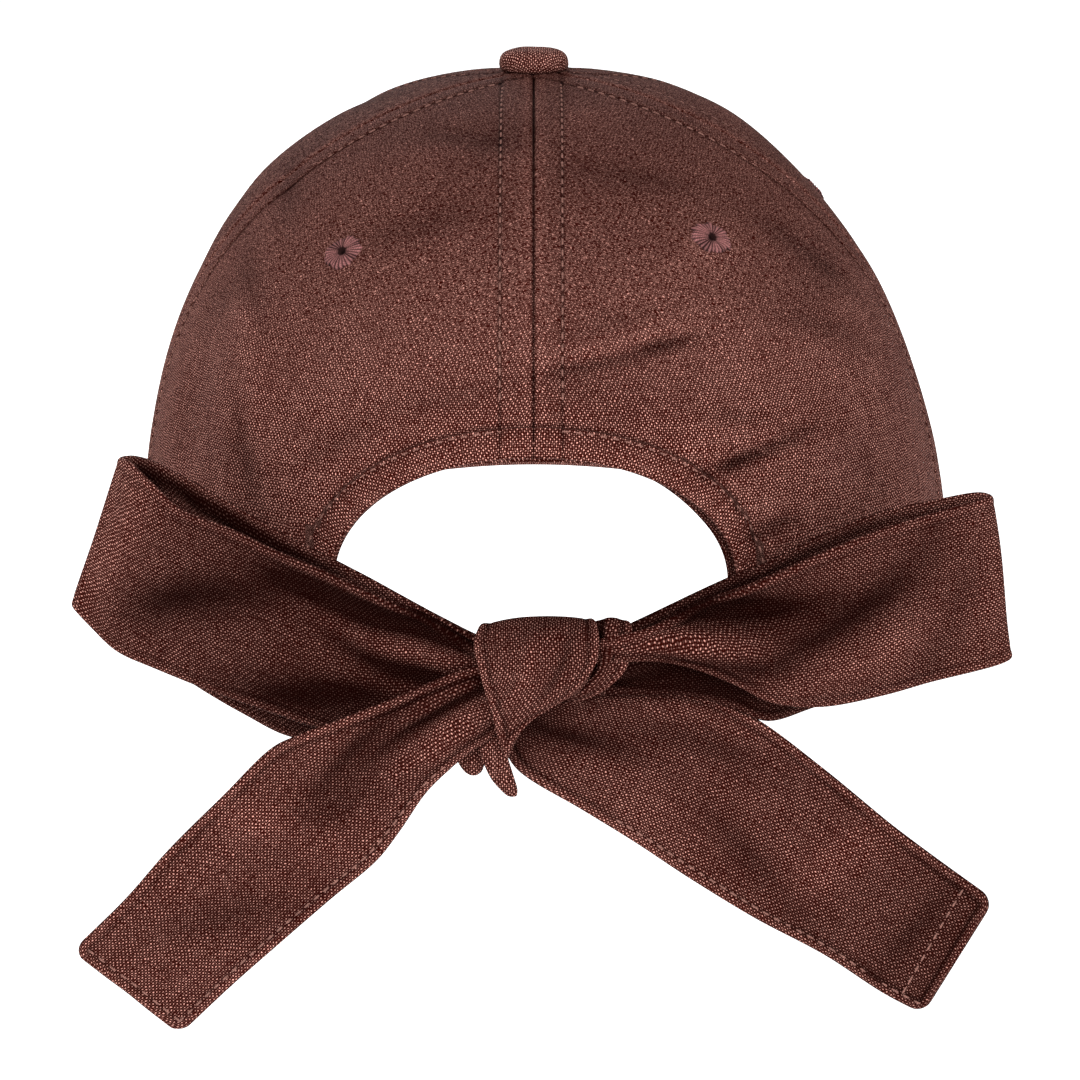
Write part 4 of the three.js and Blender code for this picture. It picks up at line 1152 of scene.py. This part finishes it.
class CAP_OT_eyelets(bpy.types.Operator):
    """Make the six stitched eyelets, whose threads run out from the hole"""

    bl_idname = "cap.eyelets"
    bl_label = "Eyelets"

    def execute(self, context):
        crown = Crown(context.scene.cap_crown)
        for side_name, _ in SIDES:
            for eyelet in EYELETS:
                self.eyelet(context, crown, f"{eyelet['name']}_{side_name}", *eyelet[side_name])
        return {"FINISHED"}

    def eyelet(self, context, crown, name, turn, rise):
        """One eyelet, leaning outwards at its top"""
        sizes = crown.sizes
        threads, per_thread, leaning = 28, 10, 24
        around = threads * per_thread
        angle = steps_between(0, 2 * math.pi, around + 1)[:-1]
        profile = np.array(EYELET_SECTION)
        rng = np.random.default_rng(int(abs(turn) * 10))
        uneven = np.repeat(rng.uniform(0.93, 1.05, threads), per_thread)
        ridge = np.abs(np.sin(angle * threads / 2)) ** 1.2
        normal = crown.normal(turn, rise)
        level = np.array([math.cos(math.radians(turn)), -math.sin(math.radians(turn)), 0])
        upward = unit(np.cross(level, normal))
        lean = math.copysign(math.radians(leaning), turn)
        level, upward = (
            level * math.cos(lean) - upward * math.sin(lean),
            upward * math.cos(lean) + level * math.sin(lean),
        )
        middle = crown.point(turn, rise)
        crown_curve = 90.0
        rings = []
        for reach, height in profile:
            ragged = 1 + (uneven - 1) * max(0.0, reach) * 1.6
            wide = mix(sizes.eyelet_hole, sizes.eyelet_half_width, reach) * np.cos(angle) * ragged
            tall = mix(sizes.eyelet_hole, sizes.eyelet_half_height, reach) * np.sin(angle) * ragged
            drop = (wide**2 + tall**2) / (2 * crown_curve)
            lift = height * 0.9 + 0.2 - drop + (0.3 * ridge * uneven if height > 0.05 else 0)
            rings.append(middle + wide[:, None] * level + tall[:, None] * upward + lift[:, None] * normal)
        rings = np.stack(rings, 1)
        count = len(profile)
        across = np.stack([np.arange(around) * count + j for j in (count - 1, 0)], -1)
        after = np.roll(across, -1, axis=0)
        closing = np.stack([across[:, 0], after[:, 0], after[:, 1], across[:, 1]], -1)
        body = np.concatenate([grid_faces(around, count, 0), self.wrap_row(around, count), closing])
        weave = cloth_places((angle * 2)[:, None], profile[:, 0] * 3, abs(turn))
        paint = material("embroidery_thread", context)
        # Each thread's tone differs at random; painted shade darkens the grooves between threads, the
        # inside of the hole, the hole's edge and the outer edge
        shade = np.repeat(rng.uniform(-0.2, 0.6, threads), per_thread) - 1.2 * (1 - ridge)
        tone = shade[:, None] - 1.5 * (profile[:, 0] < 0) - 0.4 * bell(profile[:, 0] / 0.12)
        tone -= 0.3 * (profile[:, 0] > 0.9)
        points = rings.reshape(-1, 3)
        obj = as_object(f"stitched_eyelet_{name}", points, body, paint, weave, tone)
        settle(obj, "eyelet_thread", f"eyelet_{name}")

    def wrap_row(self, around, count):
        """The faces between the last line of points and the first"""
        j = np.arange(count - 1)
        last = (around - 1) * count
        return np.stack([last + j, j, j + 1, last + j + 1], -1)


class CAP_OT_button(bpy.types.Operator):
    """Make the covered button on the top"""

    bl_idname = "cap.button"
    bl_label = "Button"

    def execute(self, context):
        sizes = context.scene.cap_crown
        radius, height = sizes.button_radius, sizes.button_height
        section = np.array(BUTTON_SECTION)
        widest, highest = section.max(0)
        around = 120
        angle = steps_between(0, 2 * math.pi, around + 1)[:-1]
        rings = []
        for reach, rise in BUTTON_SECTION:
            gathered = smooth((reach - 3) / 4) * (1 - smooth((rise - 1) / 2.4))
            pleats = 0.10 * np.sin(angle * 19 + 0.6) * gathered
            out = reach / widest * radius + pleats
            lift = rise / highest * height + 0.06 * np.sin(angle * 3 + reach)
            rings.append(np.stack([out * np.cos(angle), out * np.sin(angle), lift], -1))
        rings = np.stack(rings)
        steps = np.hypot(*np.diff(section, axis=0).T)
        from_top = (np.concatenate([[0], np.cumsum(steps[::-1])])[::-1] + section[-1, 0])[:, None]
        weave = cloth_places(from_top * np.cos(angle), from_top * np.sin(angle), BUTTON_CLOTH)
        rise = section[:, 1, None]
        # Painted highlight on the button's rounded shoulder and painted shade at its foot against the
        # crown, over a slightly lighter ground
        tone = 0.15 + 0.35 * bell((rise - 3.6) / 1.1) - 0.8 * bell((rise - 0.3) / 0.5)
        tone = np.broadcast_to(tone, rings.shape[:2])
        tilt = math.radians(sizes.top_slope)
        turned = rings.copy()
        turned[..., 1] = rings[..., 1] * math.cos(tilt) - rings[..., 2] * math.sin(tilt) + sizes.top_back
        turned[..., 2] = rings[..., 1] * math.sin(tilt) + rings[..., 2] * math.cos(tilt)
        turned[..., 2] += sizes.height + 0.4
        obj = loft("linen_button", turned, material("linen", context), weave, tone)
        settle(obj, "cloth", "button")
        return {"FINISHED"}


# The peak


def peak_surface(crown, peak, turned, v):
    """Points of the peak's middle surface: turned goes from -1 to 1 across it, and v from the crown
    (0) to its front edge (1)"""
    turn = 180 - turned * peak.attach
    turn = np.where(turn > 180, turn - 360, turn)
    start = crown.point(turn, np.zeros(turn.shape), 0.9, fine=False)
    bend = np.radians(turned * 90)
    end_x = peak.half_width * np.sin(bend)
    reach = crown.sizes.half_length + peak.length - peak.corner_back
    end_y = -(peak.corner_back + reach * np.maximum(np.cos(bend), 0) ** peak.roundness)
    x = mix(start[..., 0], end_x, v)
    y = mix(start[..., 1], end_y, v)
    far = np.hypot(x - start[..., 0], y - start[..., 1])
    droop = far * math.tan(math.radians(peak.slope)) + peak.camber * far * (np.hypot(x, 16) - 12)
    sewn = 1.1 * bell(far / 2.2) - GAP
    return np.stack([x, y, start[..., 2] + sewn - droop], -1)


class CAP_OT_peak(bpy.types.Operator):
    """Make the peak, with its rolled edge and its rows of stitches"""

    bl_idname = "cap.peak"
    bl_label = "Peak"

    def execute(self, context):
        crown, peak = Crown(context.scene.cap_crown), context.scene.cap_peak
        across = np.sin(steps_between(-math.pi / 2, math.pi / 2, 141))
        across = mix(across, steps_between(-1, 1, 141), 0.5)
        edge = fine_edge(3.4)
        near_edge = 1 - edge[::-1] / peak.length
        out = np.concatenate([steps_between(0, near_edge[0], 90), near_edge[1:]])
        turned, v = np.meshgrid(across, out, indexing="ij")
        top = peak_surface(crown, peak, turned, v)
        rim = peak_surface(crown, peak, across, np.ones(across.shape))
        away, _ = away_from(top, rim)
        rows = np.zeros(away.shape)
        for k in range(PEAK_ROWS):
            rows -= 0.16 * bell((away - FIRST_PEAK_ROW - k * peak.row_gap) / 0.55)
        puff = 0.1 * np.cos((away - FIRST_PEAK_ROW) / peak.row_gap * 2 * math.pi + math.pi)
        puff *= (away > 3) & (away < FIRST_PEAK_ROW + (PEAK_ROWS - 1) * peak.row_gap)
        wall = mix(peak.wall, peak.edge_wall, v)
        rolled = np.sqrt(np.clip(1 - np.clip(1 - away / 1.2, 0, 1) ** 2, 0.01, 1))
        piping = 0.35 * bell((away - 1.2) / 0.9)
        upper = top.copy()
        lower = top.copy()
        upper[..., 2] += -wall / 2 + wall / 2 * rolled + (rows + puff + piping) * rolled
        lower[..., 2] += -wall / 2 - wall / 2 * rolled - (rows + puff + piping) * rolled
        weave = cloth_places(top[..., 0], top[..., 1], PEAK_CLOTH)
        # Lighter along the rolled front edge, and painted shade in the grooves of the stitch rows
        tone = 0.3 * bell((away - 0.8) / 1.3) + 1.6 * rows
        obj = skin("linen_peak", upper, lower, material("linen", context), weave, tone)
        settle(obj, "cloth", "peak")
        return {"FINISHED"}


# Ribbons


class Ribbon:
    """A ribbon of cloth through its rows. s counts rows, and w goes from 0 at the lower edge to 1."""

    def __init__(self, rows, face, folds):
        self.top = np.array([row[0] for row in rows], float)
        self.bottom = np.array([row[1] for row in rows], float)
        self.swell = np.array([row[2] for row in rows], float)
        self.wall = np.array([row[3] for row in rows], float)
        self.last = len(rows) - 1
        self.face = face
        self.folds = folds

    def middle(self, s):
        """The line along the middle of its width"""
        return (through(self.top, s) + through(self.bottom, s)) / 2

    def surface(self, s, w):
        """Points on the grid of s by w, before its folds"""
        top, bottom = through(self.top, s), through(self.bottom, s)
        ahead, behind = np.minimum(self.last, s + 0.1), np.maximum(0, s - 0.1)
        run = self.middle(ahead) - self.middle(behind)
        normal = unit(np.cross(run, top - bottom)) * self.face
        swell = through(self.swell, s)
        zero = np.zeros(len(s))
        levels = np.stack([zero, swell[:, 2], swell[:, 1], swell[:, 0], zero])
        lift = through(levels, w * 4).T
        points = mix(bottom[:, None], top[:, None], w[None, :, None])
        return points + normal[:, None] * lift[..., None]

    def grid(self, s, w):
        """Points, normals, and the places along and across, in mm, on the grid of s by w"""
        points = self.surface(s, w)
        centre = points[:, len(w) // 2]
        run = np.concatenate([[0], np.cumsum(length(np.diff(centre, axis=0))[:, 0])])
        width = length(points[:, -1] - points[:, 0])[:, 0]
        along = np.broadcast_to(run[:, None], points.shape[:2])
        across = (w[None] - 0.5) * width[:, None]
        normal = self.normals(points)
        lift = self.pressed(s, run, along, across, width)
        points = points + normal * lift[..., None]
        return points, self.normals(points), along, across, width

    def pressed(self, s, run, along, across, width):
        """How far the folds lift the face"""
        lift = np.zeros(along.shape)
        for row, part, long, wide, turned, deep in self.folds:
            x0 = np.interp(row, s, run)
            y0 = (part - 0.5) * np.interp(row, s, width)
            a, b = math.cos(math.radians(turned)), math.sin(math.radians(turned))
            x, y = along - x0, across - y0
            lift += deep * bell((x * a + y * b) / long) * bell((y * a - x * b) / wide)
        return lift

    def normals(self, points):
        return unit(np.cross(np.gradient(points, axis=0), np.gradient(points, axis=1))) * self.face


def ribbon_shares(width, between):
    """Shares of the width, close together near both edges"""
    edge = np.array([0, 0.2, 0.45, 0.8, 1.3, 1.9, 2.5, 3.2]) / width
    middle = steps_between(edge[-1], 1 - edge[-1], between)[1:-1]
    return np.concatenate([edge, middle, 1 - edge[::-1]])


def make_ribbon(
    context, name, rows, face, folds, piece, per_row=10, closed_end=False, edging=0.1, shade=(-0.2, -0.2)
):
    """A ribbon with rolled long edges and an edge seam, and its last row hemmed where it ends. Shade
    holds the painted shade along its length: below 0 is darker."""
    ribbon = Ribbon(rows, face, folds)
    s = steps_between(0, ribbon.last, ribbon.last * per_row + 1)
    if closed_end:
        near_end = np.array([0.5, 0.42, 0.34, 0.27, 0.2, 0.15, 0.1, 0.06, 0.03, 0.012, 0])  # in rows
        s = np.concatenate([s[s < ribbon.last - 0.55], ribbon.last - near_end])
    typical = float(np.median(length(ribbon.top - ribbon.bottom)))
    w = ribbon_shares(typical, 44)
    points, normal, along, across, width = ribbon.grid(s, w)
    away = np.minimum(w, 1 - w)[None] * width[:, None]
    end = along[-1, 0] - along
    if closed_end:
        away = np.minimum(away, end)
        corner = 3.2
        inset = corner - np.sqrt(np.clip(corner**2 - np.clip(corner - end, 0, corner) ** 2, 0, None))
        centre = (points[:, :1] + points[:, -1:]) / 2
        points = centre + (points - centre) * (1 - 2 * inset / width[:, None])[..., None]
    wall = through(ribbon.wall, s)[:, None]
    rolled = np.sqrt(np.clip(1 - np.clip(1 - away / (wall * 0.6), 0, 1) ** 2, 0.02, 1))
    ridge = edging * bell((away - 0.9) / 0.8) - 0.6 * edging * bell((away - 2.2) / 0.5)
    half = wall / 2 * rolled
    rng = np.random.default_rng(piece)
    ruck = np.zeros(away.shape)
    for _ in range(5):
        pitch, tilt, start = rng.uniform(9, 22), rng.uniform(-0.6, 0.6), rng.uniform(0, 6.28)
        ruck += 0.07 * np.sin((along + across * tilt) * 2 * math.pi / pitch + start)
    points = points + normal * (ruck * smooth(away / 3))[..., None]
    outer = points + normal * (half + ridge)[..., None]
    inner = points - normal * (half + ridge)[..., None]
    weave = cloth_places(across, along, piece)
    run = along[:, 0]
    # Painted shade along the ribbon's length, and from its folds painted shade where they dip and painted
    # highlight where they swell
    tone = through(shade, s / ribbon.last * (len(shade) - 1))[:, None]
    tone = tone + 0.55 * np.clip(ribbon.pressed(s, run, along, across, width), -1.3, 0.7)
    # Lighter on the rolled edge, and painted shade in the edge seam's groove
    tone += edging * (1.2 * bell((away - 0.7) / 0.8) - 1.6 * bell((away - 2.2) / 0.45))
    tone = np.maximum(tone, -0.95)
    obj = skin(name, outer, inner, material("linen", context), weave, tone)
    return obj, outer


class CAP_OT_ties(bpy.types.Operator):
    """Make the two ties between the arch's corners and the knot"""

    bl_idname = "cap.ties"
    bl_label = "Ties"

    def execute(self, context):
        crown = Crown(context.scene.cap_crown)
        for side_name, side in SIDES:
            rows = []
            for k, (top, bottom, swell, wall) in enumerate(TIE):
                ends = [self.placed(crown, side, point, wall, k < TIE_SEWN) for point in (top, bottom)]
                rows.append((*ends, swell, wall))
            name = f"linen_tie_{side_name}"
            obj, outer = make_ribbon(context, name, rows, side, NO_FOLDS, TIE_CLOTH + side, per_row=8)
            settle(obj, "cloth", f"tie_strap_{side_name}")
            declare_cloth(outer)
        return {"FINISHED"}

    def placed(self, crown, side, point, wall, sewn):
        """A point of the tie on its own side, laid on the crown where it is sewn"""
        x, y, z = point
        if not sewn:
            return (side * x, y, z)
        turn, rise = crown.on_back(side * x, z)
        return tuple(crown.point(turn, rise, -GAP - wall / 2, fine=False).tolist())


class CAP_OT_loops(bpy.types.Operator):
    """Make the bow's two loops"""

    bl_idname = "cap.loops"
    bl_label = "Bow loops"

    def execute(self, context):
        for side_name, rows, face, folds in (
            ("left", LEFT_LOOP, 1, LEFT_LOOP_FOLDS),
            ("right", RIGHT_LOOP, -1, RIGHT_LOOP_FOLDS),
        ):
            name, piece = f"linen_bow_loop_{side_name}", LOOP_CLOTH[side_name]
            shade = RIBBON_PAINTED_SHADES[f"{side_name}_loop"]
            obj, outer = make_ribbon(context, name, rows, face, folds, piece, shade=shade)
            settle(obj, "cloth", f"bow_loop_{side_name}")
            declare_cloth(outer)
        return {"FINISHED"}


class CAP_OT_tails(bpy.types.Operator):
    """Make the bow's two tails, hemmed round their ends"""

    bl_idname = "cap.tails"
    bl_label = "Bow tails"

    def execute(self, context):
        for side_name, rows, face, folds in (
            ("left", LEFT_TAIL, -1, LEFT_TAIL_FOLDS),
            ("right", RIGHT_TAIL, 1, RIGHT_TAIL_FOLDS),
        ):
            name, piece = f"linen_bow_tail_{side_name}", TAIL_CLOTH[side_name]
            finish = {"closed_end": True, "edging": 0.2, "shade": RIBBON_PAINTED_SHADES[f"{side_name}_tail"]}
            obj, outer = make_ribbon(context, name, rows, face, folds, piece, TAIL_PER_ROW, **finish)
            settle(obj, "cloth", f"bow_tail_{side_name}")
            declare_cloth(outer)
        return {"FINISHED"}


def sliced_body(rows, around, per_row):
    """Rings of points through level slices, and the angle of each point"""
    last = len(rows) - 1
    table = through(np.array(rows, float), steps_between(0, last, last * per_row + 1))
    angle = steps_between(0, 2 * math.pi, around + 1)[:-1]
    z, left, right, y, deep = (table[:, k, None] for k in range(5))
    x = (left + right) / 2 + (left - right) / 2 * np.cos(angle)
    return np.stack([x, y + deep * np.sin(angle), np.broadcast_to(z, x.shape)], -1), angle


class CAP_OT_knot(bpy.types.Operator):
    """Make the knot: its body, the wrap over it, the one at its right and the end under it"""

    bl_idname = "cap.knot"
    bl_label = "Knot"

    def execute(self, context):
        paint = material("linen", context)
        rings, angle = sliced_body(KNOT_BODY, 64, 5)
        pleats = 0.35 * np.sin(rings[..., 0] * 1.7 + rings[..., 2] * 0.9)
        rings[..., 1] += pleats * np.sin(angle) - 3.4 * smooth((-7 - rings[..., 0]) / 6)
        weave = cloth_places(rings[..., 2], rings[..., 0] + rings[..., 1], KNOT_CLOTH["body"])
        # The knot's body is in painted shade
        body = loft("linen_knot", rings, paint, weave, np.full(rings.shape[:2], -0.4))
        settle(body, "cloth", "bow_knot")
        for name, rows in (("wrap", KNOT_WRAP), ("side_wrap", KNOT_SIDE)):
            folds, piece = KNOT_FOLDS[name], KNOT_CLOTH[name]
            finish = {"per_row": 9, "edging": 0.2, "shade": RIBBON_PAINTED_SHADES["knot"]}
            obj, outer = make_ribbon(context, f"linen_knot_{name}", rows, -1, folds, piece, **finish)
            settle(obj, "cloth")
            declare_cloth(outer)
        for name, rows, nodes in (("end", CURL_TONGUE, ["bow_knot_curl"]), ("end_behind", CURL_LOBE, [])):
            rings, _ = sliced_body(rows, 48, 8)
            weave = cloth_places(rings[..., 0], rings[..., 2], KNOT_CLOTH[name])
            # The folded end is in painted shade
            curl = loft(f"linen_knot_{name}", rings, paint, weave, np.full(rings.shape[:2], -0.3))
            settle(curl, "cloth", *nodes)
        return {"FINISHED"}


# Stitches


def on_line(values, run, places):
    """The values at these places along a line, where run says how far along each value lies"""
    return np.stack([np.interp(places, run, values[:, k]) for k in range(3)], -1)


def stitch_row(line, normal, cloth):
    """The points and faces of a row of stitches that lie on a line of points"""
    run = np.concatenate([[0], np.cumsum(length(np.diff(line, axis=0))[:, 0])])
    count = int(run[-1] / cloth.stitch_pitch)
    middles = (np.arange(count) + 0.5) * run[-1] / max(count, 1)
    up = unit(on_line(normal, run, middles))
    ahead = unit(on_line(line, run, middles + 0.5) - on_line(line, run, middles - 0.5))
    aside = np.cross(up, ahead)
    sides = 6
    angle = steps_between(0, 2 * math.pi, sides + 1)[:-1]
    rings = []
    for place, wide, lift in STITCH_SECTION:
        centre = on_line(line, run, middles + place * cloth.stitch) + up * lift * cloth.stitch_radius
        ring = []
        for a in angle:
            out = aside * math.cos(a) + up * math.sin(a) * 0.8
            ring.append(centre + wide * cloth.stitch_radius * out)
        rings.append(np.stack(ring, 1))
    points = np.stack(rings, 1)
    per_stitch = len(rings) * sides
    one = grid_faces(len(rings), sides, 0, wrap=True)
    cap = np.array([[0, 1, 2, 3], [0, 3, 4, 5]])
    one = np.concatenate([one, cap, (cap + per_stitch - sides)[:, ::-1]])
    faces = (one[None] + (np.arange(count) * per_stitch)[:, None, None]).reshape(-1, 4)
    places = np.zeros((count, len(rings), sides, 3))
    apart = 1.7
    places[..., 0] = np.arange(count)[:, None, None] * apart
    places[..., 1] = np.array([place for place, _, _ in STITCH_SECTION])[None, :, None] * cloth.stitch
    return points.reshape(-1, 3), faces, places.reshape(-1, 3)


class CAP_OT_stitches(bpy.types.Operator):
    """Sew the seams, the hems, the peak and the tails with rows of stitches"""

    bl_idname = "cap.stitches"
    bl_label = "Stitches"

    def execute(self, context):
        crown = Crown(context.scene.cap_crown)
        self.sew(context, "crown_stitches", self.crown_rows(crown))
        self.sew(context, "peak_stitches", self.peak_rows(crown, context.scene.cap_peak))
        self.sew(context, "tail_stitches", self.tail_rows())
        return {"FINISHED"}

    def crown_rows(self, crown):
        """The rows beside the seams, round the arch and round the rim"""
        rows = []
        sunk, on_hem = -0.02, -0.26
        radius, widest_turn = 95, 24
        rim_row, rim_from, rim_to = 3.96, 36, 179.5
        for k, seam in enumerate(SEAMS):
            for _, side in SIDES:
                for outward in (-1, 1):
                    past_back = k == 0 and outward < 0
                    past_front = k == 3 and outward > 0
                    if past_back or past_front:
                        continue
                    aside = outward * stitch_distance(crown, side, outward)
                    start = lowest_rise(crown, seam) + (6 if k == 0 else 0.8)
                    line, turn, rise = seam_line(crown, seam, side, start, aside, sunk)
                    keep = np.abs(np.degrees(aside / (radius * crown.reach(rise)))) < widest_turn
                    rows.append((line[keep], crown.normal(turn, rise)[keep]))
        for _, side in SIDES:
            turn, rise = crown.arch_edge(steps_between(0, 0.98, 120), crown.sizes.hem - 0.9, side)
            rows.append((crown.point(turn, rise, on_hem), crown.normal(turn, rise)))
            turn = side * steps_between(rim_from, rim_to, 200)
            rise = np.full(turn.shape, rim_row)
            rows.append((crown.point(turn, rise, on_hem), crown.normal(turn, rise)))
        return rows

    def peak_rows(self, crown, peak):
        """The rows that follow the peak's edge"""
        rows = []
        across = steps_between(-0.985, 0.985, 160)
        rim = peak_surface(crown, peak, across, np.ones(across.shape))
        upward = np.array([0, 0, 1.0])
        aside = unit(np.cross(np.gradient(rim, axis=0), upward))
        if aside[len(rim) // 2, 1] < 0:
            aside = -aside
        for k in range(PEAK_ROWS):
            inner = rim + aside * (FIRST_PEAK_ROW + k * peak.row_gap)
            line = inner[self.over_peak(crown, peak, inner)]
            line[:, 2] = self.peak_height(crown, peak, line)
            rows.append((line, np.broadcast_to(upward, line.shape)))
        return rows

    def over_peak(self, crown, peak, line):
        """Which points of a line lie on the peak, clear of the crown"""
        turn = np.degrees(np.arctan2(line[:, 0], line[:, 1]))
        out = np.hypot(line[:, 0], line[:, 1])
        return (out > crown.rim_radius(turn) + 3) & (np.abs(turn) > 180 - peak.attach - 6)

    def peak_height(self, crown, peak, line):
        """The height of the peak's top under each point, from its own surface"""
        turned, v = np.meshgrid(steps_between(-1, 1, 161), steps_between(0, 1, 61), indexing="ij")
        grid = peak_surface(crown, peak, turned, v).reshape(-1, 3)
        heights = []
        for point in line:
            gap = ((grid[:, :2] - point[:2]) ** 2).sum(-1)
            nearest = np.argsort(gap)[:4]
            weight = 1 / (gap[nearest] + 1e-3)
            heights.append((grid[nearest, 2] * weight).sum() / weight.sum())
        return np.array(heights) - 0.14

    def tail_rows(self):
        """The rows along the tails' lower edges and across their ends"""
        rows = []
        columns, lift = 80, 0.86
        for table, face, folds, part, first, last, hem in (
            (LEFT_TAIL, -1, LEFT_TAIL_FOLDS, 0.075, 1.5, 9.92, 0.16),
            (RIGHT_TAIL, 1, RIGHT_TAIL_FOLDS, 0.06, 2.5, 7.9, 0.62),
        ):
            ribbon = Ribbon(table, face, folds)
            s = steps_between(0, ribbon.last, ribbon.last * TAIL_PER_ROW + 1)
            w = steps_between(0, 1, columns + 1)
            points, normal, _, _, _ = ribbon.grid(s, w)
            column = int(round(part * columns))
            keep = (s >= first) & (s <= last)
            rows.append((points[keep, column] + normal[keep, column] * lift, normal[keep, column]))
            row = int(round((ribbon.last - hem) * TAIL_PER_ROW))
            rows.append((points[row, 4:-4] + normal[row, 4:-4] * lift, normal[row, 4:-4]))
        return rows

    def sew(self, context, name, rows):
        """Makes one object of all the stitches of these rows"""
        points, faces, places, first = [], [], [], 0
        for line, normal in rows:
            if len(line) < 3:
                continue
            here, joined, place = stitch_row(line, normal, context.scene.cap_cloth)
            points.append(here)
            faces.append(joined + first)
            places.append(place)
            first += len(here)
        points, places = np.concatenate(points), np.concatenate(places)
        paint = material("linen_thread", context)
        obj = as_object(name, points, np.concatenate(faces), paint, places, np.zeros(len(points)))
        settle(obj, "cloth")


# The stage


class CAP_OT_stage(bpy.types.Operator):
    """Set the pale floor, the soft lights and the camera"""

    bl_idname = "cap.stage"
    bl_label = "Stage"

    def execute(self, context):
        settings = context.scene.cap_stage
        self.floor(settings)
        self.camera(context, settings)
        self.lights(context)
        context.scene.view_settings.view_transform = "Standard"
        return {"FINISHED"}

    def floor(self, settings):
        half = 30.0
        mesh = bpy.data.meshes.new("floor")
        height = -settings.floor_drop * MM
        around = [(-half, -half), (half, -half), (half, half), (-half, half)]
        corners = [(x, y, height) for x, y in around]
        mesh.from_pydata(corners, [], [(0, 1, 2, 3)])
        mesh.materials.append(pale_floor(settings.floor_colour))
        floor = bpy.data.objects.new("floor", mesh)
        bpy.context.scene.collection.objects.link(floor)

    def camera(self, context, settings):
        aim = Vector((-1.33, 0.0, 10.3)) * MM
        rise = math.radians(settings.camera_rise)
        away = Vector((0, math.cos(rise), math.sin(rise))) * settings.camera_distance * MM
        data = bpy.data.cameras.new("camera")
        data.lens = settings.camera_lens
        data.sensor_width = 36.0
        camera = bpy.data.objects.new("camera", data)
        camera.location = aim + away
        camera.rotation_euler = away.to_track_quat("Z", "Y").to_euler()
        context.scene.collection.objects.link(camera)
        context.scene.camera = camera

    def lights(self, context):
        world = bpy.data.worlds.new("pale_room")
        world.use_nodes = True
        sky = world.node_tree.nodes["Background"]
        sky.inputs["Color"].default_value = (1, 1, 1, 1)
        sky.inputs["Strength"].default_value = 0.48
        context.scene.world = world
        for name, place, power, side in (
            ("key_light", (0.45, 2.2, 1.15), 42.0, 0.9),
            ("fill_light", (-1.6, 1.6, 0.5), 12.0, 1.2),
            ("front_light", (0.6, -2.0, 1.2), 28.0, 1.5),
        ):
            data = bpy.data.lights.new(name, "AREA")
            data.energy = power
            data.size = side
            light = bpy.data.objects.new(name, data)
            light.location = place
            light.rotation_euler = Vector(place).to_track_quat("Z", "Y").to_euler()
            context.scene.collection.objects.link(light)


class CAP_PT_panel(bpy.types.Panel):
    """Lists the cap's pieces and its sizes"""

    bl_label = "Linen Bow Cap"
    bl_idname = "CAP_PT_panel"
    bl_space_type = "VIEW_3D"
    bl_region_type = "UI"
    bl_category = "Cap"

    def draw(self, context):
        column = self.layout.column()
        for operator in OPERATORS:
            column.operator(operator.bl_idname)
        for group, settings in SETTINGS.items():
            for name in settings.__annotations__:
                column.prop(getattr(context.scene, group), name)


OPERATORS = (
    CAP_OT_stage,
    CAP_OT_panels,
    CAP_OT_facing,
    CAP_OT_eyelets,
    CAP_OT_button,
    CAP_OT_peak,
    CAP_OT_ties,
    CAP_OT_loops,
    CAP_OT_tails,
    CAP_OT_knot,
    CAP_OT_stitches,
)
SETTINGS = {
    "cap_crown": CrownSettings,
    "cap_peak": PeakSettings,
    "cap_cloth": ClothSettings,
    "cap_stage": StageSettings,
}


def register():
    for settings in SETTINGS.values():
        bpy.utils.register_class(settings)
    for name, settings in SETTINGS.items():
        setattr(bpy.types.Scene, name, PointerProperty(type=settings))
    for operator in OPERATORS:
        bpy.utils.register_class(operator)
    bpy.utils.register_class(CAP_PT_panel)


def unregister():
    bpy.utils.unregister_class(CAP_PT_panel)
    for operator in reversed(OPERATORS):
        bpy.utils.unregister_class(operator)
    for name, settings in SETTINGS.items():
        delattr(bpy.types.Scene, name)
        bpy.utils.unregister_class(settings)


def main():
    register()
    bpy.ops.cap.stage()
    bpy.ops.cap.panels()
    bpy.ops.cap.facing()
    bpy.ops.cap.eyelets()
    bpy.ops.cap.button()
    bpy.ops.cap.peak()
    bpy.ops.cap.ties()
    bpy.ops.cap.loops()
    bpy.ops.cap.tails()
    bpy.ops.cap.knot()
    bpy.ops.cap.stitches()


if __name__ == "__main__":
    main()
